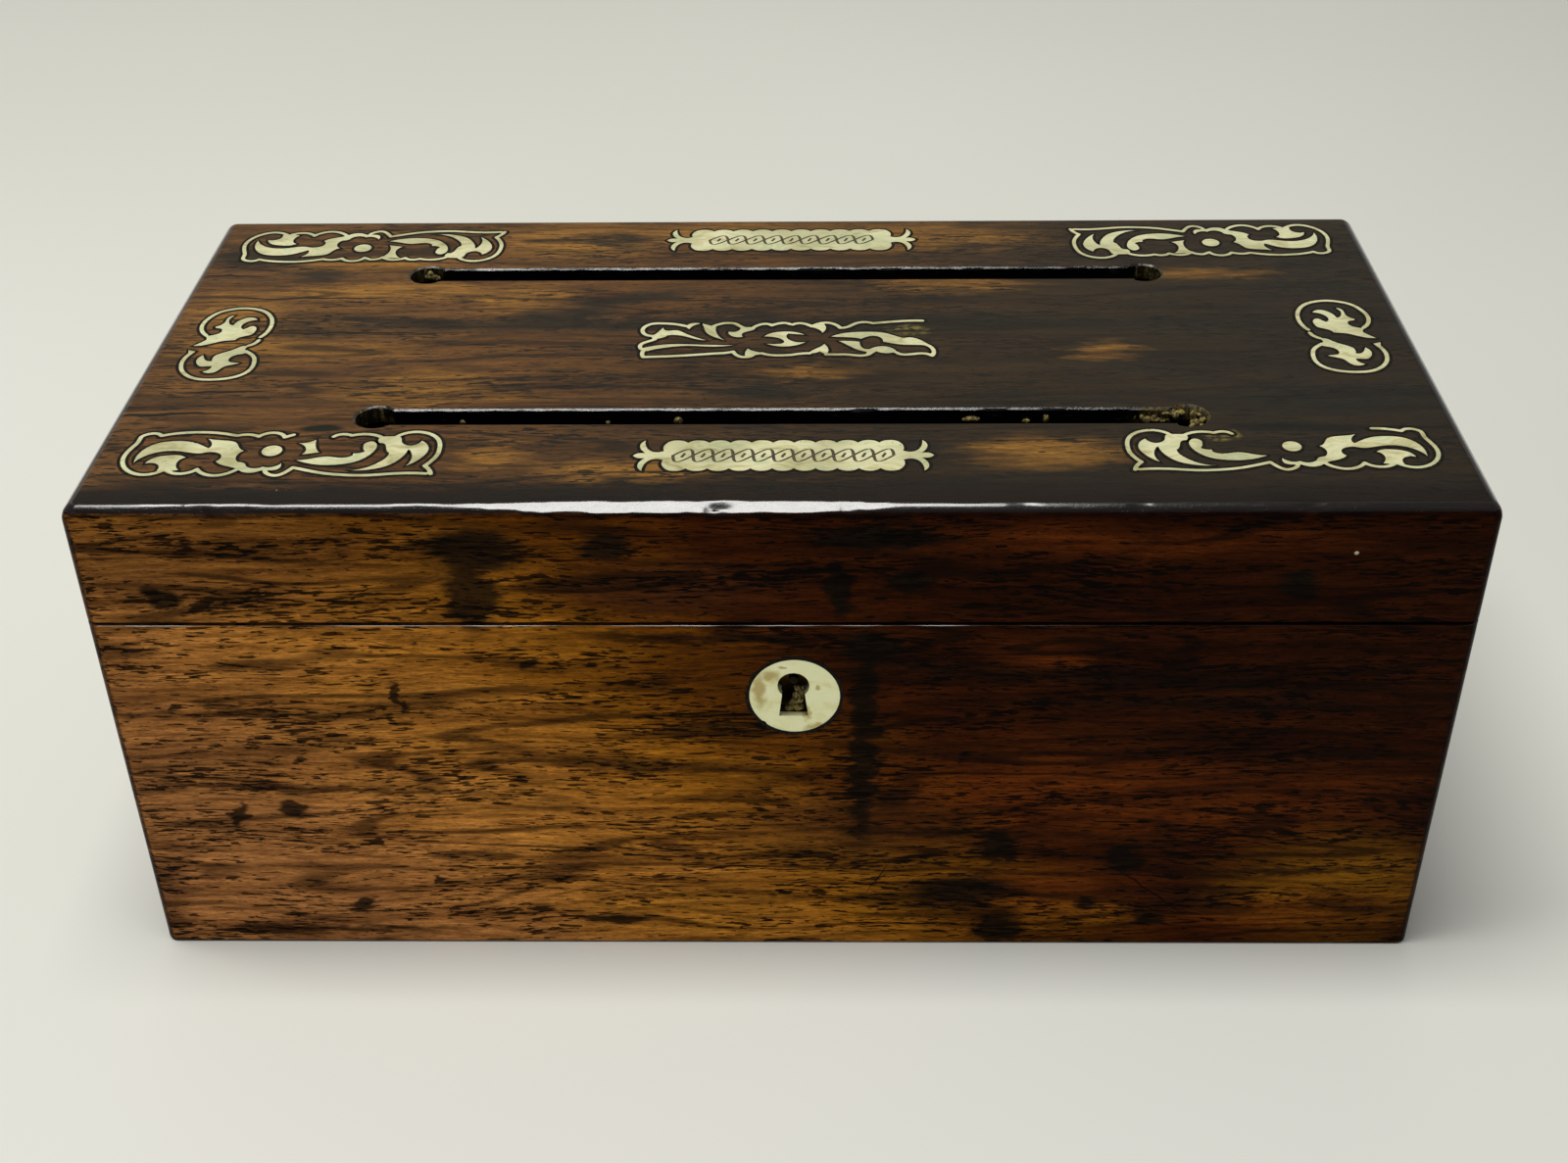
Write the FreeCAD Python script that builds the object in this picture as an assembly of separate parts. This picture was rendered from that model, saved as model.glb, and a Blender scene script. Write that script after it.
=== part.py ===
import FreeCAD, Part
import math
import os

# A rosewood-veneered letter box: a dovetailed carcass in two compartments, a hinged lid with
# two posting slots, a box lock, and mother-of-pearl let into the veneer.
# Origin: middle of the underside. +X to the right along the front, +Y to the back, +Z up.

# ---- Driving dimensions, in millimetres ----
width = 240.0
depth = 116.0
height = 99.5
joint_height = 76.0
lid_gap = 0.2
board = 7.0
veneer = 1.2
bottom_thickness = 6.0
top_rounding = 3.0
corner_rounding = 2.3
foot_rounding = 0.6

slot_width = 5.8
slot_straight_end = 70.0
slot_hole_radius = 4.1
slot_hole_x = 72.1
front_slot_y = -27.4
back_slot_y = 30.4

divider_y = 1.5
divider_thickness = 4.0
divider_top = 73.0
divider_housing = 1.5
lining_thickness = 0.4
lining_top = 74.0

key_x = 2.4
key_z = 62.6
key_radius = 2.8
escutcheon_centre = (2.6, 60.3)
escutcheon_radius = 8.0

bolt_travel = 4.0
link_offset = 9.0
link_thickness = 1.6

hinge_x = 78.0
hinge_length = 34.0
hinge_inset = 2.6
knuckle_radius = 2.0
hinge_pin_radius = 0.9
chamfer_angle = 48.0

border_width = 0.95

# ---- Planes that follow from them ----
outer_x = width / 2
outer_y = depth / 2
core_x = outer_x - veneer
core_y = outer_y - veneer
inner_x = core_x - board
inner_y = core_y - board
base_top = joint_height - lid_gap / 2
base_core_top = base_top - veneer
lid_bottom = joint_height + lid_gap / 2
lid_core_bottom = lid_bottom + veneer
lid_core_top = height - veneer
lid_ceiling = lid_core_top - board
axis_y = outer_y - hinge_inset
divider_front = divider_y - divider_thickness / 2
divider_back = divider_y + divider_thickness / 2


# ---- Small tools ----
def vector(x, y, z):
    return FreeCAD.Vector(x, y, z)


def block(x_low, x_high, y_low, y_high, z_low, z_high):
    return Part.makeBox(x_high - x_low, y_high - y_low, z_high - z_low, vector(x_low, y_low, z_low))


def rod(radius, start, end):
    run = vector(*end) - vector(*start)
    return Part.makeCylinder(radius, run.Length, vector(*start), run)


def prism(points, run):
    """The solid that a closed polygon sweeps along one straight run."""
    corners = [vector(*point) for point in points]
    return Part.Face(Part.makePolygon(corners + corners[:1])).extrude(vector(*run))


def mirrored_x(shape):
    return shape.mirror(vector(0, 0, 0), vector(1, 0, 0))


def mirrored_y(shape):
    return shape.mirror(vector(0, 0, 0), vector(0, 1, 0))


def save(node, shape):
    """Writes one sub-part; a list is a group of separate solids."""
    if isinstance(shape, list):
        shape = Part.makeCompound(shape)
    shape.removeSplitter().exportStep("parts/" + node + ".step")


def edges_along(shape, axis):
    """The straight edges of a block that run along one axis."""
    chosen = []
    for edge in shape.Edges:
        run = edge.Vertexes[1].Point - edge.Vertexes[0].Point
        if abs(abs(run.dot(vector(*axis))) - run.Length) < 1e-6:
            chosen.append(edge)
    return chosen


def countersunk_screw(head, tip, head_radius, shank_radius):
    """A wood screw from the middle of its flat head to the end of its shank."""
    run = vector(*tip) - vector(*head)
    cone = Part.makeCone(head_radius, shank_radius, head_radius, vector(*head), run)
    slot_side = head_radius * 0.22
    screw = cone.fuse(Part.makeCylinder(shank_radius, run.Length, vector(*head), run))
    saw = Part.makeBox(slot_side, head_radius * 3, slot_side * 2,
                       vector(-slot_side / 2, -head_radius * 1.5, -slot_side))
    saw.Placement = FreeCAD.Placement(vector(*head), FreeCAD.Rotation(vector(0, 0, 1), run))
    return screw, screw.cut(saw)


os.makedirs("parts", exist_ok=True)


# ---- Outer forms: every outside piece is trimmed to these worn, rounded shapes ----
base_form = block(-outer_x, outer_x, -outer_y, outer_y, 0, base_top)
base_form = base_form.makeFillet(corner_rounding, edges_along(base_form, (0, 0, 1)))
foot_edges = [edge for edge in base_form.Edges if edge.BoundBox.ZMax < 0.001]
base_form = base_form.makeFillet(foot_rounding, foot_edges)

lid_form = block(-outer_x, outer_x, -outer_y, outer_y, lid_bottom, height)
lid_form = lid_form.makeFillet(corner_rounding, edges_along(lid_form, (0, 0, 1)))
top_edges = [edge for edge in lid_form.Edges if edge.BoundBox.ZMin > height - 0.001]
lid_form = lid_form.makeFillet(top_rounding, top_edges)

# The back arrises of base and lid are bevelled by a little more than half of the opening angle
# of 95 degrees, so that the open lid stops on them.
bevel_reach = hinge_inset + 1
bevel_rise = bevel_reach * math.tan(math.radians(chamfer_angle))
base_bevel = prism(
    [(-outer_x - 1, axis_y, joint_height), (-outer_x - 1, axis_y + bevel_reach, joint_height - bevel_rise),
     (-outer_x - 1, axis_y + bevel_reach, joint_height)],
    (width + 2, 0, 0))
lid_bevel = base_bevel.mirror(vector(0, 0, joint_height), vector(0, 0, 1))

# Room for the knuckles of both hinges.
knuckle_room = []
for side in (-1, 1):
    start = side * hinge_x - hinge_length / 2 - 0.3
    knuckle_room.append(rod(knuckle_radius + 0.3, (start, axis_y, joint_height),
                            (start + hinge_length + 0.6, axis_y, joint_height)))


# ---- Hinges: two brass butts, five knuckles each, pinned on one axis ----
def knuckles(centre, turns):
    """The barrels of one leaf: every second fifth of the hinge's length."""
    pitch = hinge_length / 5
    barrels = []
    for turn in turns:
        start = centre - hinge_length / 2 + turn * pitch + 0.06
        barrels.append(rod(knuckle_radius, (start, axis_y, joint_height),
                           (start + pitch - 0.12, axis_y, joint_height)))
    return barrels


def leaf_screws(centre, head_z, direction):
    """Three countersunk screws through one leaf, as cutting tools and as finished screws."""
    spots = [centre - hinge_length * 0.34, centre, centre + hinge_length * 0.34]
    pairs = []
    for spot in spots:
        head = (spot, 51.9, head_z)
        point = (spot, 51.9, head_z + direction * 7.5)
        pairs.append(countersunk_screw(head, point, 1.25, 0.7))
    return [pair[0] for pair in pairs], [pair[1] for pair in pairs]


def hinge_leaf(centre, z_low, own_turns, other_turns, tools):
    plate = block(centre - hinge_length / 2, centre + hinge_length / 2, 50.5, axis_y, z_low, z_low + veneer)
    for barrel in knuckles(centre, other_turns):
        start = barrel.BoundBox.XMin - 0.12
        plate = plate.cut(rod(knuckle_radius + 0.15, (start, axis_y, joint_height),
                              (barrel.BoundBox.XMax + 0.12, axis_y, joint_height)))
    leaf_solid = plate.fuse(knuckles(centre, own_turns))
    bore = rod(hinge_pin_radius + 0.05, (centre - hinge_length, axis_y, joint_height),
               (centre + hinge_length, axis_y, joint_height))
    return leaf_solid.cut([bore] + tools)


hinge_base_screws = []
hinge_lid_screws = []
hinge_base_tools = []
hinge_lid_tools = []
for side, name in ((-1, "left"), (1, "right")):
    centre = side * hinge_x
    low_tools, low_screws = leaf_screws(centre, base_top, -1)
    high_tools, high_screws = leaf_screws(centre, lid_bottom, 1)
    base_leaf = hinge_leaf(centre, base_core_top, (0, 2, 4), (1, 3), low_tools)
    lid_leaf = hinge_leaf(centre, lid_bottom, (1, 3), (0, 2, 4), high_tools)
    save(name + "_hinge_base_leaf", base_leaf)
    save(name + "_hinge_lid_leaf", lid_leaf)
    save(name + "_hinge_pin", rod(hinge_pin_radius, (centre - hinge_length / 2 + 0.1, axis_y, joint_height),
                                  (centre + hinge_length / 2 - 0.1, axis_y, joint_height)))
    hinge_base_screws += low_screws
    hinge_lid_screws += high_screws
    hinge_base_tools += low_tools
    hinge_lid_tools += high_tools
save("hinge_base_screws", hinge_base_screws)
save("hinge_lid_screws", hinge_lid_screws)


def hinge_seats(z_low):
    """The shallow recesses in a rim that take the leaves."""
    seats = []
    for side in (-1, 1):
        centre = side * hinge_x
        seats.append(block(centre - hinge_length / 2, centre + hinge_length / 2, 50.5, axis_y + 0.5,
                           z_low, z_low + veneer))
    return seats


# ---- Lock: a brass box lock let into the inside of the front wall ----
plate_half = 24.0
case_half = 20.0
plate_low = 50.0
plate_thickness = 1.0
case_front = -55.4
case_low = 52.0
case_wall = 0.8
selvedge_front = -55.8
plate_face = -inner_y
plate_back = plate_face - plate_thickness
bolt_front = -53.05
bolt_thickness = 1.1
bolt_bar_low = 64.5
bolt_bar_high = 67.6
nose_low = 70.0
nose_high = 72.2
link_front = -54.0
link_back = -51.0
link_low = 68.4
stump_radius = 0.6
stump_offsets = (-10.5, 10.0)


def keyhole(grow, y_low, y_high):
    """A round hole over a slot that widens downwards."""
    neck = 1.9 + grow
    foot = 2.6 + grow
    low = 55.9 - grow
    skirt = prism([(key_x - neck, y_low, key_z - 1), (key_x + neck, y_low, key_z - 1),
                   (key_x + foot, y_low, low), (key_x - foot, y_low, low)], (0, y_high - y_low, 0))
    return rod(key_radius + grow, (key_x, y_low, key_z), (key_x, y_high, key_z)).fuse(skirt)


def link_room(grow):
    """The space of the two links, grown for the slots that take them."""
    rooms = []
    for side in (-1, 1):
        middle = key_x + side * link_offset
        rooms.append(block(middle - link_thickness / 2 - grow, middle + link_thickness / 2 + grow,
                           link_front - 2 * grow, link_back + grow, link_low, lid_bottom + 0.2))
    return rooms


selvedge = block(key_x - plate_half, key_x + plate_half, selvedge_front, plate_face,
                 base_core_top, base_top)
lock_plate = block(key_x - plate_half, key_x + plate_half, plate_back, plate_face,
                   plate_low, base_core_top)
lock_plate = lock_plate.fuse(selvedge)
plate_room = lock_plate
lock_plate = lock_plate.fuse([rod(stump_radius, (key_x + offset, plate_back, 66.05),
                                  (key_x + offset, case_front + case_wall + 0.1, 66.05))
                              for offset in stump_offsets])
lock_screw_spots = [(-1, 53.0), (1, 53.0), (-1, 70.0), (1, 70.0)]
lock_tools = []
lock_screws = []
for side, z in lock_screw_spots:
    x = key_x + side * (plate_half - 2.0)
    tool, screw = countersunk_screw((x, plate_face, z), (x, plate_face - 6.0, z), 1.3, 0.7)
    lock_tools.append(tool)
    lock_screws.append(screw)
for side in (-1, 1):
    x = key_x + side * (plate_half - 2.2)
    tool, screw = countersunk_screw((x, -52.8, base_top), (x, -52.8, base_top - 8.5), 1.3, 0.7)
    lock_tools.append(tool)
    lock_screws.append(screw)
lock_plate = lock_plate.cut(link_room(0.25) + lock_tools)
pin_length_tip = -56.4
drill_pin = rod(0.8, (key_x, pin_length_tip, key_z), (key_x, plate_face - 0.2, key_z))
lock_plate = lock_plate.cut(drill_pin)
save("lock_plate", lock_plate)
save("lock_pin", drill_pin)
save("lock_screws", lock_screws)

case_room = block(key_x - case_half, key_x + case_half, case_front, plate_back, case_low, base_core_top)
case_hollow = block(key_x - case_half + case_wall, key_x + case_half - case_wall,
                    case_front + case_wall, plate_back, case_low + case_wall, base_core_top)
lock_case = case_room.cut([case_hollow, keyhole(0.1, case_front - 1, case_front + case_wall + 1)])
save("lock_case", lock_case)

ward_ring = rod(4.4, (key_x, plate_back - 0.9, key_z), (key_x, plate_back, key_z))
ward_gate = block(key_x - 3.2, key_x + 3.2, plate_back - 1, plate_back + 1, key_z - 6, key_z)
ward_bore = rod(3.8, (key_x, plate_back - 1, key_z), (key_x, plate_back + 1, key_z))
save("lock_ward", ward_ring.cut([ward_bore, ward_gate]))

bolt_back = bolt_front + bolt_thickness
bolt = block(key_x - 17.8, key_x + 12.0, bolt_front, bolt_back, bolt_bar_low, bolt_bar_high)
for side in (-1, 1):
    link_left = key_x + side * link_offset - link_thickness / 2
    riser = block(link_left - 8.0, link_left - 4.5, bolt_front, bolt_back, bolt_bar_low, nose_high)
    nose = block(link_left - 4.6, link_left - 0.5, bolt_front, bolt_back, nose_low, nose_high)
    bolt = bolt.fuse([riser, nose])
for offset in stump_offsets:
    reach = stump_radius + 0.05
    x = key_x + offset
    groove = block(x - bolt_travel, x, bolt_front, bolt_back, 66.05 - reach, 66.05 + reach)
    bolt = bolt.cut([groove, rod(reach, (x, bolt_front, 66.05), (x, bolt_back, 66.05)),
                     rod(reach, (x - bolt_travel, bolt_front, 66.05), (x - bolt_travel, bolt_back, 66.05))])
talon = block(key_x - 4.5, key_x + 0.5, bolt_front, bolt_back, bolt_bar_low - 1, bolt_bar_low + 0.8)
bolt = bolt.cut(talon)
save("lock_bolt", bolt)

spring_left = vector(key_x - 6.2, bolt_front, bolt_bar_high)
spring_right = vector(key_x - 1.8, bolt_front, bolt_bar_high)
spring_crest = vector(key_x - 4.0, bolt_front, base_core_top - 0.3)
spring_thickness = 0.35
inner_left = spring_left + vector(spring_thickness, 0, 0)
inner_right = spring_right - vector(spring_thickness, 0, 0)
inner_crest = spring_crest - vector(0, 0, spring_thickness)
spring_outline = Part.Wire([
    Part.Arc(spring_left, spring_crest, spring_right).toShape(),
    Part.LineSegment(spring_right, inner_right).toShape(),
    Part.Arc(inner_right, inner_crest, inner_left).toShape(),
    Part.LineSegment(inner_left, spring_left).toShape()])
save("lock_bolt_spring", Part.Face(spring_outline).extrude(vector(0, bolt_thickness, 0)))

# The link plate in the lid: two eyes hang from it into the lock, and the bolt's noses pass through them.
link_plate = block(key_x - plate_half, key_x + plate_half, selvedge_front, plate_face,
                   lid_bottom, lid_core_bottom)
link_plate_room = link_plate
link_plate = link_plate.fuse(link_room(0))
eye = block(key_x - plate_half, key_x + plate_half, bolt_front - 0.2, bolt_back + 0.2,
            nose_low - 0.3, nose_high + 0.3)
link_plate_tools = []
link_plate_screws = []
for side in (-1, 1):
    x = key_x + side * (plate_half - 4.0)
    tool, screw = countersunk_screw((x, -52.8, lid_bottom), (x, -52.8, lid_bottom + 9.0), 1.4, 0.8)
    link_plate_tools.append(tool)
    link_plate_screws.append(screw)
save("link_plate", link_plate.cut([eye] + link_plate_tools))
save("link_plate_screws", link_plate_screws)


# ---- Carcass boards: dovetailed at the corners, hidden by the veneer ----
def tails(side_x, side_y, z_low, z_high, count):
    """The dovetails at one upright corner, cut on the ends of the front and back pieces."""
    pitch = (z_high - z_low) / count
    flare = board * math.tan(math.radians(9))
    y_low = -core_y if side_y < 0 else inner_y
    shapes = []
    for turn in range(count):
        middle = z_low + pitch * (turn + 0.5)
        half = pitch * 0.28
        shapes.append(prism([(side_x * inner_x, y_low, middle - half),
                             (side_x * core_x, y_low, middle - half - flare),
                             (side_x * core_x, y_low, middle + half + flare),
                             (side_x * inner_x, y_low, middle + half)], (0, board, 0)))
    return shapes


def long_board(side_y, z_low, z_high, count):
    """The front or back piece: a board with tails at both ends."""
    y_low = -core_y if side_y < 0 else inner_y
    plank = block(-inner_x, inner_x, y_low, y_low + board, z_low, z_high)
    return plank.fuse(tails(-1, side_y, z_low, z_high, count) + tails(1, side_y, z_low, z_high, count))


def end_board(side_x, z_low, z_high, count):
    """The left or right piece: what the tails leave of it makes the pins."""
    x_low = -core_x if side_x < 0 else inner_x
    plank = block(x_low, x_low + board, -core_y, core_y, z_low, z_high)
    return plank.cut(tails(side_x, -1, z_low, z_high, count) + tails(side_x, 1, z_low, z_high, count))


keyhole_in_wood = keyhole(0.5, -outer_y - 1, case_front + 0.01)
front_board = long_board(-1, bottom_thickness, base_core_top, 5)
front_board = front_board.cut([plate_room, case_room, keyhole_in_wood] + lock_tools)
save("base_front_board", front_board)
back_board = long_board(1, bottom_thickness, base_core_top, 5)
back_board = back_board.cut([base_bevel] + knuckle_room + hinge_base_tools)
save("base_back_board", back_board)

divider = block(-inner_x - divider_housing, inner_x + divider_housing, divider_front, divider_back,
                bottom_thickness, divider_top)
save("divider", divider)
save("base_left_board", end_board(-1, bottom_thickness, base_core_top, 5).cut([divider, base_bevel]))
save("base_right_board", end_board(1, bottom_thickness, base_core_top, 5).cut([divider, base_bevel]))
save("base_bottom_board", block(-core_x, core_x, -core_y, core_y, 0, bottom_thickness))


# ---- Base veneers and rim facings ----
def front_skin(z_low, z_high):
    return block(-outer_x, outer_x, -outer_y, -core_y, z_low, z_high)


def end_skin(side_x, z_low, z_high):
    x_low = -outer_x if side_x < 0 else core_x
    return block(x_low, x_low + veneer, -core_y, core_y, z_low, z_high)


escutcheon_disc = rod(escutcheon_radius, (escutcheon_centre[0], -outer_y, escutcheon_centre[1]),
                      (escutcheon_centre[0], -core_y, escutcheon_centre[1]))
escutcheon_seat = rod(escutcheon_radius + 0.15, (escutcheon_centre[0], -outer_y - 1, escutcheon_centre[1]),
                      (escutcheon_centre[0], -core_y, escutcheon_centre[1]))
chip = rod(0.8, (-3.2, -outer_y - 0.1, 54.0), (-3.2, -outer_y + 0.8, 54.0))
save("escutcheon", escutcheon_disc.cut([keyhole(0, -outer_y - 1, -core_y + 1), chip]))
save("base_front_veneer", front_skin(0, base_core_top).common(base_form).cut(escutcheon_seat))
back_skin = mirrored_y(front_skin(0, base_core_top)).common(base_form)
save("base_back_veneer", back_skin.cut([base_bevel] + knuckle_room))
save("base_left_veneer", end_skin(-1, 0, base_core_top).common(base_form).cut(base_bevel))
save("base_right_veneer", end_skin(1, 0, base_core_top).common(base_form).cut(base_bevel))


def rim_strip(side, z_low):
    """One mitred facing strip on the edge of the walls."""
    z_run = (0, 0, veneer)
    if side in ("front", "back"):
        sign = -1 if side == "front" else 1
        return prism([(-outer_x, sign * outer_y, z_low), (outer_x, sign * outer_y, z_low),
                      (inner_x, sign * inner_y, z_low), (-inner_x, sign * inner_y, z_low)], z_run)
    sign = -1 if side == "left" else 1
    return prism([(sign * outer_x, -outer_y, z_low), (sign * outer_x, outer_y, z_low),
                  (sign * inner_x, inner_y, z_low), (sign * inner_x, -inner_y, z_low)], z_run)


base_rim_cuts = [base_bevel, selvedge] + knuckle_room + hinge_seats(base_core_top)
lid_rim_cuts = [lid_bevel, link_plate_room] + knuckle_room + hinge_seats(lid_bottom)
for side in ("front", "back", "left", "right"):
    save("base_rim_" + side, rim_strip(side, base_core_top).common(base_form).cut(base_rim_cuts))
    save("lid_rim_" + side, rim_strip(side, lid_bottom).common(lid_form).cut(lid_rim_cuts))


# ---- Paper linings of the two compartments ----
def lining(y_low, y_high):
    outside = block(-inner_x, inner_x, y_low, y_high, bottom_thickness, lining_top)
    inside = block(-inner_x + lining_thickness, inner_x - lining_thickness, y_low + lining_thickness,
                   y_high - lining_thickness, bottom_thickness + lining_thickness, lining_top)
    return outside.cut(inside)


lock_window = block(key_x - plate_half - 0.3, key_x + plate_half + 0.3, -inner_y - 1, -inner_y + 1,
                    plate_low - 0.3, lining_top)
divider_fold = block(-inner_x, inner_x, divider_front - 1, divider_back + 1, divider_top, lining_top)
save("front_compartment_lining", lining(-inner_y, divider_front).cut([lock_window, divider_fold]))
save("back_compartment_lining", lining(divider_back, inner_y).cut(divider_fold))


# ---- Lid carcass ----
def slot(centre_y, grow):
    """One posting slot: a straight cut between two drilled round ends."""
    low = lid_ceiling - 2
    high = height + 2
    half = slot_width / 2 + grow
    straight = block(-slot_straight_end, slot_straight_end, centre_y - half, centre_y + half, low, high)
    radius = slot_hole_radius + grow
    holes = [rod(radius, (side * slot_hole_x, centre_y, low), (side * slot_hole_x, centre_y, high))
             for side in (-1, 1)]
    return straight.fuse(holes)


slots = [slot(front_slot_y, 0), slot(back_slot_y, 0)]
top_board = block(-core_x, core_x, -core_y, core_y, lid_ceiling, lid_core_top).common(lid_form)
save("lid_top_board", top_board.cut(slots))
lid_front_rail = long_board(-1, lid_core_bottom, lid_ceiling, 2)
save("lid_front_rail", lid_front_rail.cut(link_plate_tools))
lid_back_rail = long_board(1, lid_core_bottom, lid_ceiling, 2)
save("lid_back_rail", lid_back_rail.cut([lid_bevel] + knuckle_room + hinge_lid_tools))
save("lid_left_rail", end_board(-1, lid_core_bottom, lid_ceiling, 2).cut(lid_bevel))
save("lid_right_rail", end_board(1, lid_core_bottom, lid_ceiling, 2).cut(lid_bevel))

lid_outside = block(-inner_x, inner_x, -inner_y, inner_y, lid_core_bottom, lid_ceiling)
lid_inside = block(-inner_x + lining_thickness, inner_x - lining_thickness, -inner_y + lining_thickness,
                   inner_y - lining_thickness, lid_core_bottom, lid_ceiling - lining_thickness)
save("lid_lining", lid_outside.cut([lid_inside] + [slot(front_slot_y, 0.3), slot(back_slot_y, 0.3)]))

save("lid_front_veneer", front_skin(lid_core_bottom, lid_core_top).common(lid_form))
lid_back_skin = mirrored_y(front_skin(lid_core_bottom, lid_core_top)).common(lid_form)
save("lid_back_veneer", lid_back_skin.cut([lid_bevel] + knuckle_room))
save("lid_left_veneer", end_skin(-1, lid_core_bottom, lid_core_top).common(lid_form).cut(lid_bevel))
save("lid_right_veneer", end_skin(1, lid_core_bottom, lid_core_top).common(lid_form).cut(lid_bevel))


# ---- Mother-of-pearl inlay: fretted pieces as thick as the veneer, set flush in its cut-outs ----
# Every outline is drawn flat, in its own frame: u along the box, v across it.
fret_deflection = 0.025


def smooth_run(points):
    """Spots along the smooth path through the points, with the path's direction at each."""
    spots = [vector(x, y, 0) for x, y in points]
    if len(spots) == 2:
        along = (spots[1] - spots[0]).normalize()
        return [(spots[0], along), (spots[1], along)]
    path = Part.BSplineCurve()
    path.interpolate(spots)
    run = []
    for spot in path.toShape().discretize(Deflection=fret_deflection):
        run.append((spot, path.tangent(path.parameter(spot))[0]))
    return run


def sheet(corners):
    """A closed outline given the veneer's thickness, at the top of the lid."""
    raised = [corner + vector(0, 0, lid_core_top) for corner in corners]
    return Part.Face(Part.makePolygon(raised + raised[:1])).extrude(vector(0, 0, veneer))


def leaf(strokes):
    """Each stroke of the outline is smooth and starts where the one before it ends."""
    corners = []
    start = strokes[-1][-1]
    for stroke in strokes:
        corners += [spot for spot, along in smooth_run([start] + stroke)][1:]
        start = stroke[-1]
    return sheet(corners)


def band(points):
    """A border line: an even band along a smooth path, with round ends."""
    run = smooth_run(points)
    half = border_width / 2
    left = [spot + vector(-along.y, along.x, 0) * half for spot, along in run]
    right = [spot - vector(-along.y, along.x, 0) * half for spot, along in run]
    last, forward = run[-1]
    first, ahead = run[0]
    across = vector(-forward.y, forward.x, 0)
    tip = [last + (forward + across) * half * 0.7, last + forward * half,
           last + (forward - across) * half * 0.7]
    across = vector(-ahead.y, ahead.x, 0)
    tail = [first - (ahead + across) * half * 0.7, first - ahead * half,
            first - (ahead - across) * half * 0.7]
    return sheet(left + tip + right[::-1] + tail)


def fretted(leaves, lines):
    """Leaves and border lines joined where they meet."""
    pieces = [leaf(strokes) for strokes in leaves] + [band(points) for points in lines]
    return pieces[0].multiFuse(pieces[1:]).removeSplitter()


# One corner panel: u = 0 at the flower's centre, with the box's end on the low side and its middle
# on the high side.
corner_leaves = [
    # crescent leaf of the outer end, growing into the toothed acanthus beside the flower
    [[(-23.2, -1.6), (-22.5, 0.7), (-20.7, 2.7), (-18.4, 3.4), (-16.1, 3.4), (-13.8, 2.7),
      (-12.3, 1.7), (-11.3, 0.9)],
     [(-11.1, 2.2), (-11.5, 3.2), (-12.2, 4.2)],
     [(-10.3, 3.8), (-8.8, 3.6), (-6.9, 2.9), (-5.9, 1.1), (-4.8, 0)],
     [(-5.5, -0.9), (-5.7, -2.3), (-5, -3.7)],
     [(-3.6, -4.3), (-3.3, -5)],
     [(-2.6, -5.6), (-1.5, -5.8), (-0.4, -5.2)],
     [(1.2, -5.4), (2, -4.9), (2.5, -4.1)],
     [(2.8, -5.3), (2.5, -6.1), (1.6, -6.6), (0.4, -6.4)],
     [(-0.4, -6.7), (-1.5, -7.3), (-3, -7.3), (-4.2, -6.6)],
     [(-5, -5.9), (-6.1, -5.4), (-7.6, -4.8), (-9, -3.5)],
     [(-8.4, -2.3), (-8.6, -1.4), (-9.6, -0.6), (-11.5, -0.6)],
     [(-12.6, -0.9), (-15, -0.4), (-17.3, 0), (-19.6, -0.4), (-21.5, -1.6), (-23, -4.1)]],
    # small hooked leaf on a stem that stands on the border
    [[(-20.7, -3.1), (-19.6, -2), (-17.6, -1.4), (-15.7, -1.4), (-14.4, -2.2)],
     [(-15.4, -3.4), (-15.4, -4.8), (-14.6, -6.4)],
     [(-16.5, -6.8), (-18.4, -6.6)],
     [(-18.3, -5.6), (-18.6, -4.8), (-19.6, -4.1), (-21, -4.3)]],
    # long crescent leaf with a toothed inside
    [[(7.7, -2.5), (10, -1.9), (12, -2.3), (13.5, -2.2), (14.3, -1.6)],
     [(14.3, -0.9)], [(15.3, -0.8), (16.2, -0.3)], [(15.7, 0.6), (15.6, 1.5)],
     [(15.7, 2.5), (16.9, 3.2), (17.8, 2.5), (18.1, 0.7), (17.3, -1.6), (15.4, -3.7),
      (12.7, -4.7), (10.4, -4.9), (7.7, -4.5), (4.9, -3.2)]],
    # forked leaf that hangs from the border: its long blade, its short hooked blade and their root
    [[(17.3, -5.7), (19.3, -3.9), (20.4, -2), (20.5, -0.8)],
     [(19.7, 0.7), (19.1, 2.3), (18.2, 2.5)], [(17.8, 3.4), (18.1, 4.8)], [(19.2, 4.9), (21.2, 4.9)],
     [(22, 4), (22.2, 2.9), (22.8, 2.1), (23.8, 1.7), (24.9, 2.2), (25.5, 3.4)],
     [(26.9, 1.9), (27.3, 0), (26.6, -2.3), (25.5, -4), (24.1, -5.2)],
     [(24.7, -3.1), (24.5, -1.2), (23.7, 0.4)],
     [(23.6, -0.8), (22.7, -3.1), (21.2, -5), (18.9, -6.2), (16.2, -6.7), (14.5, -6.5)]],
]
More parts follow.
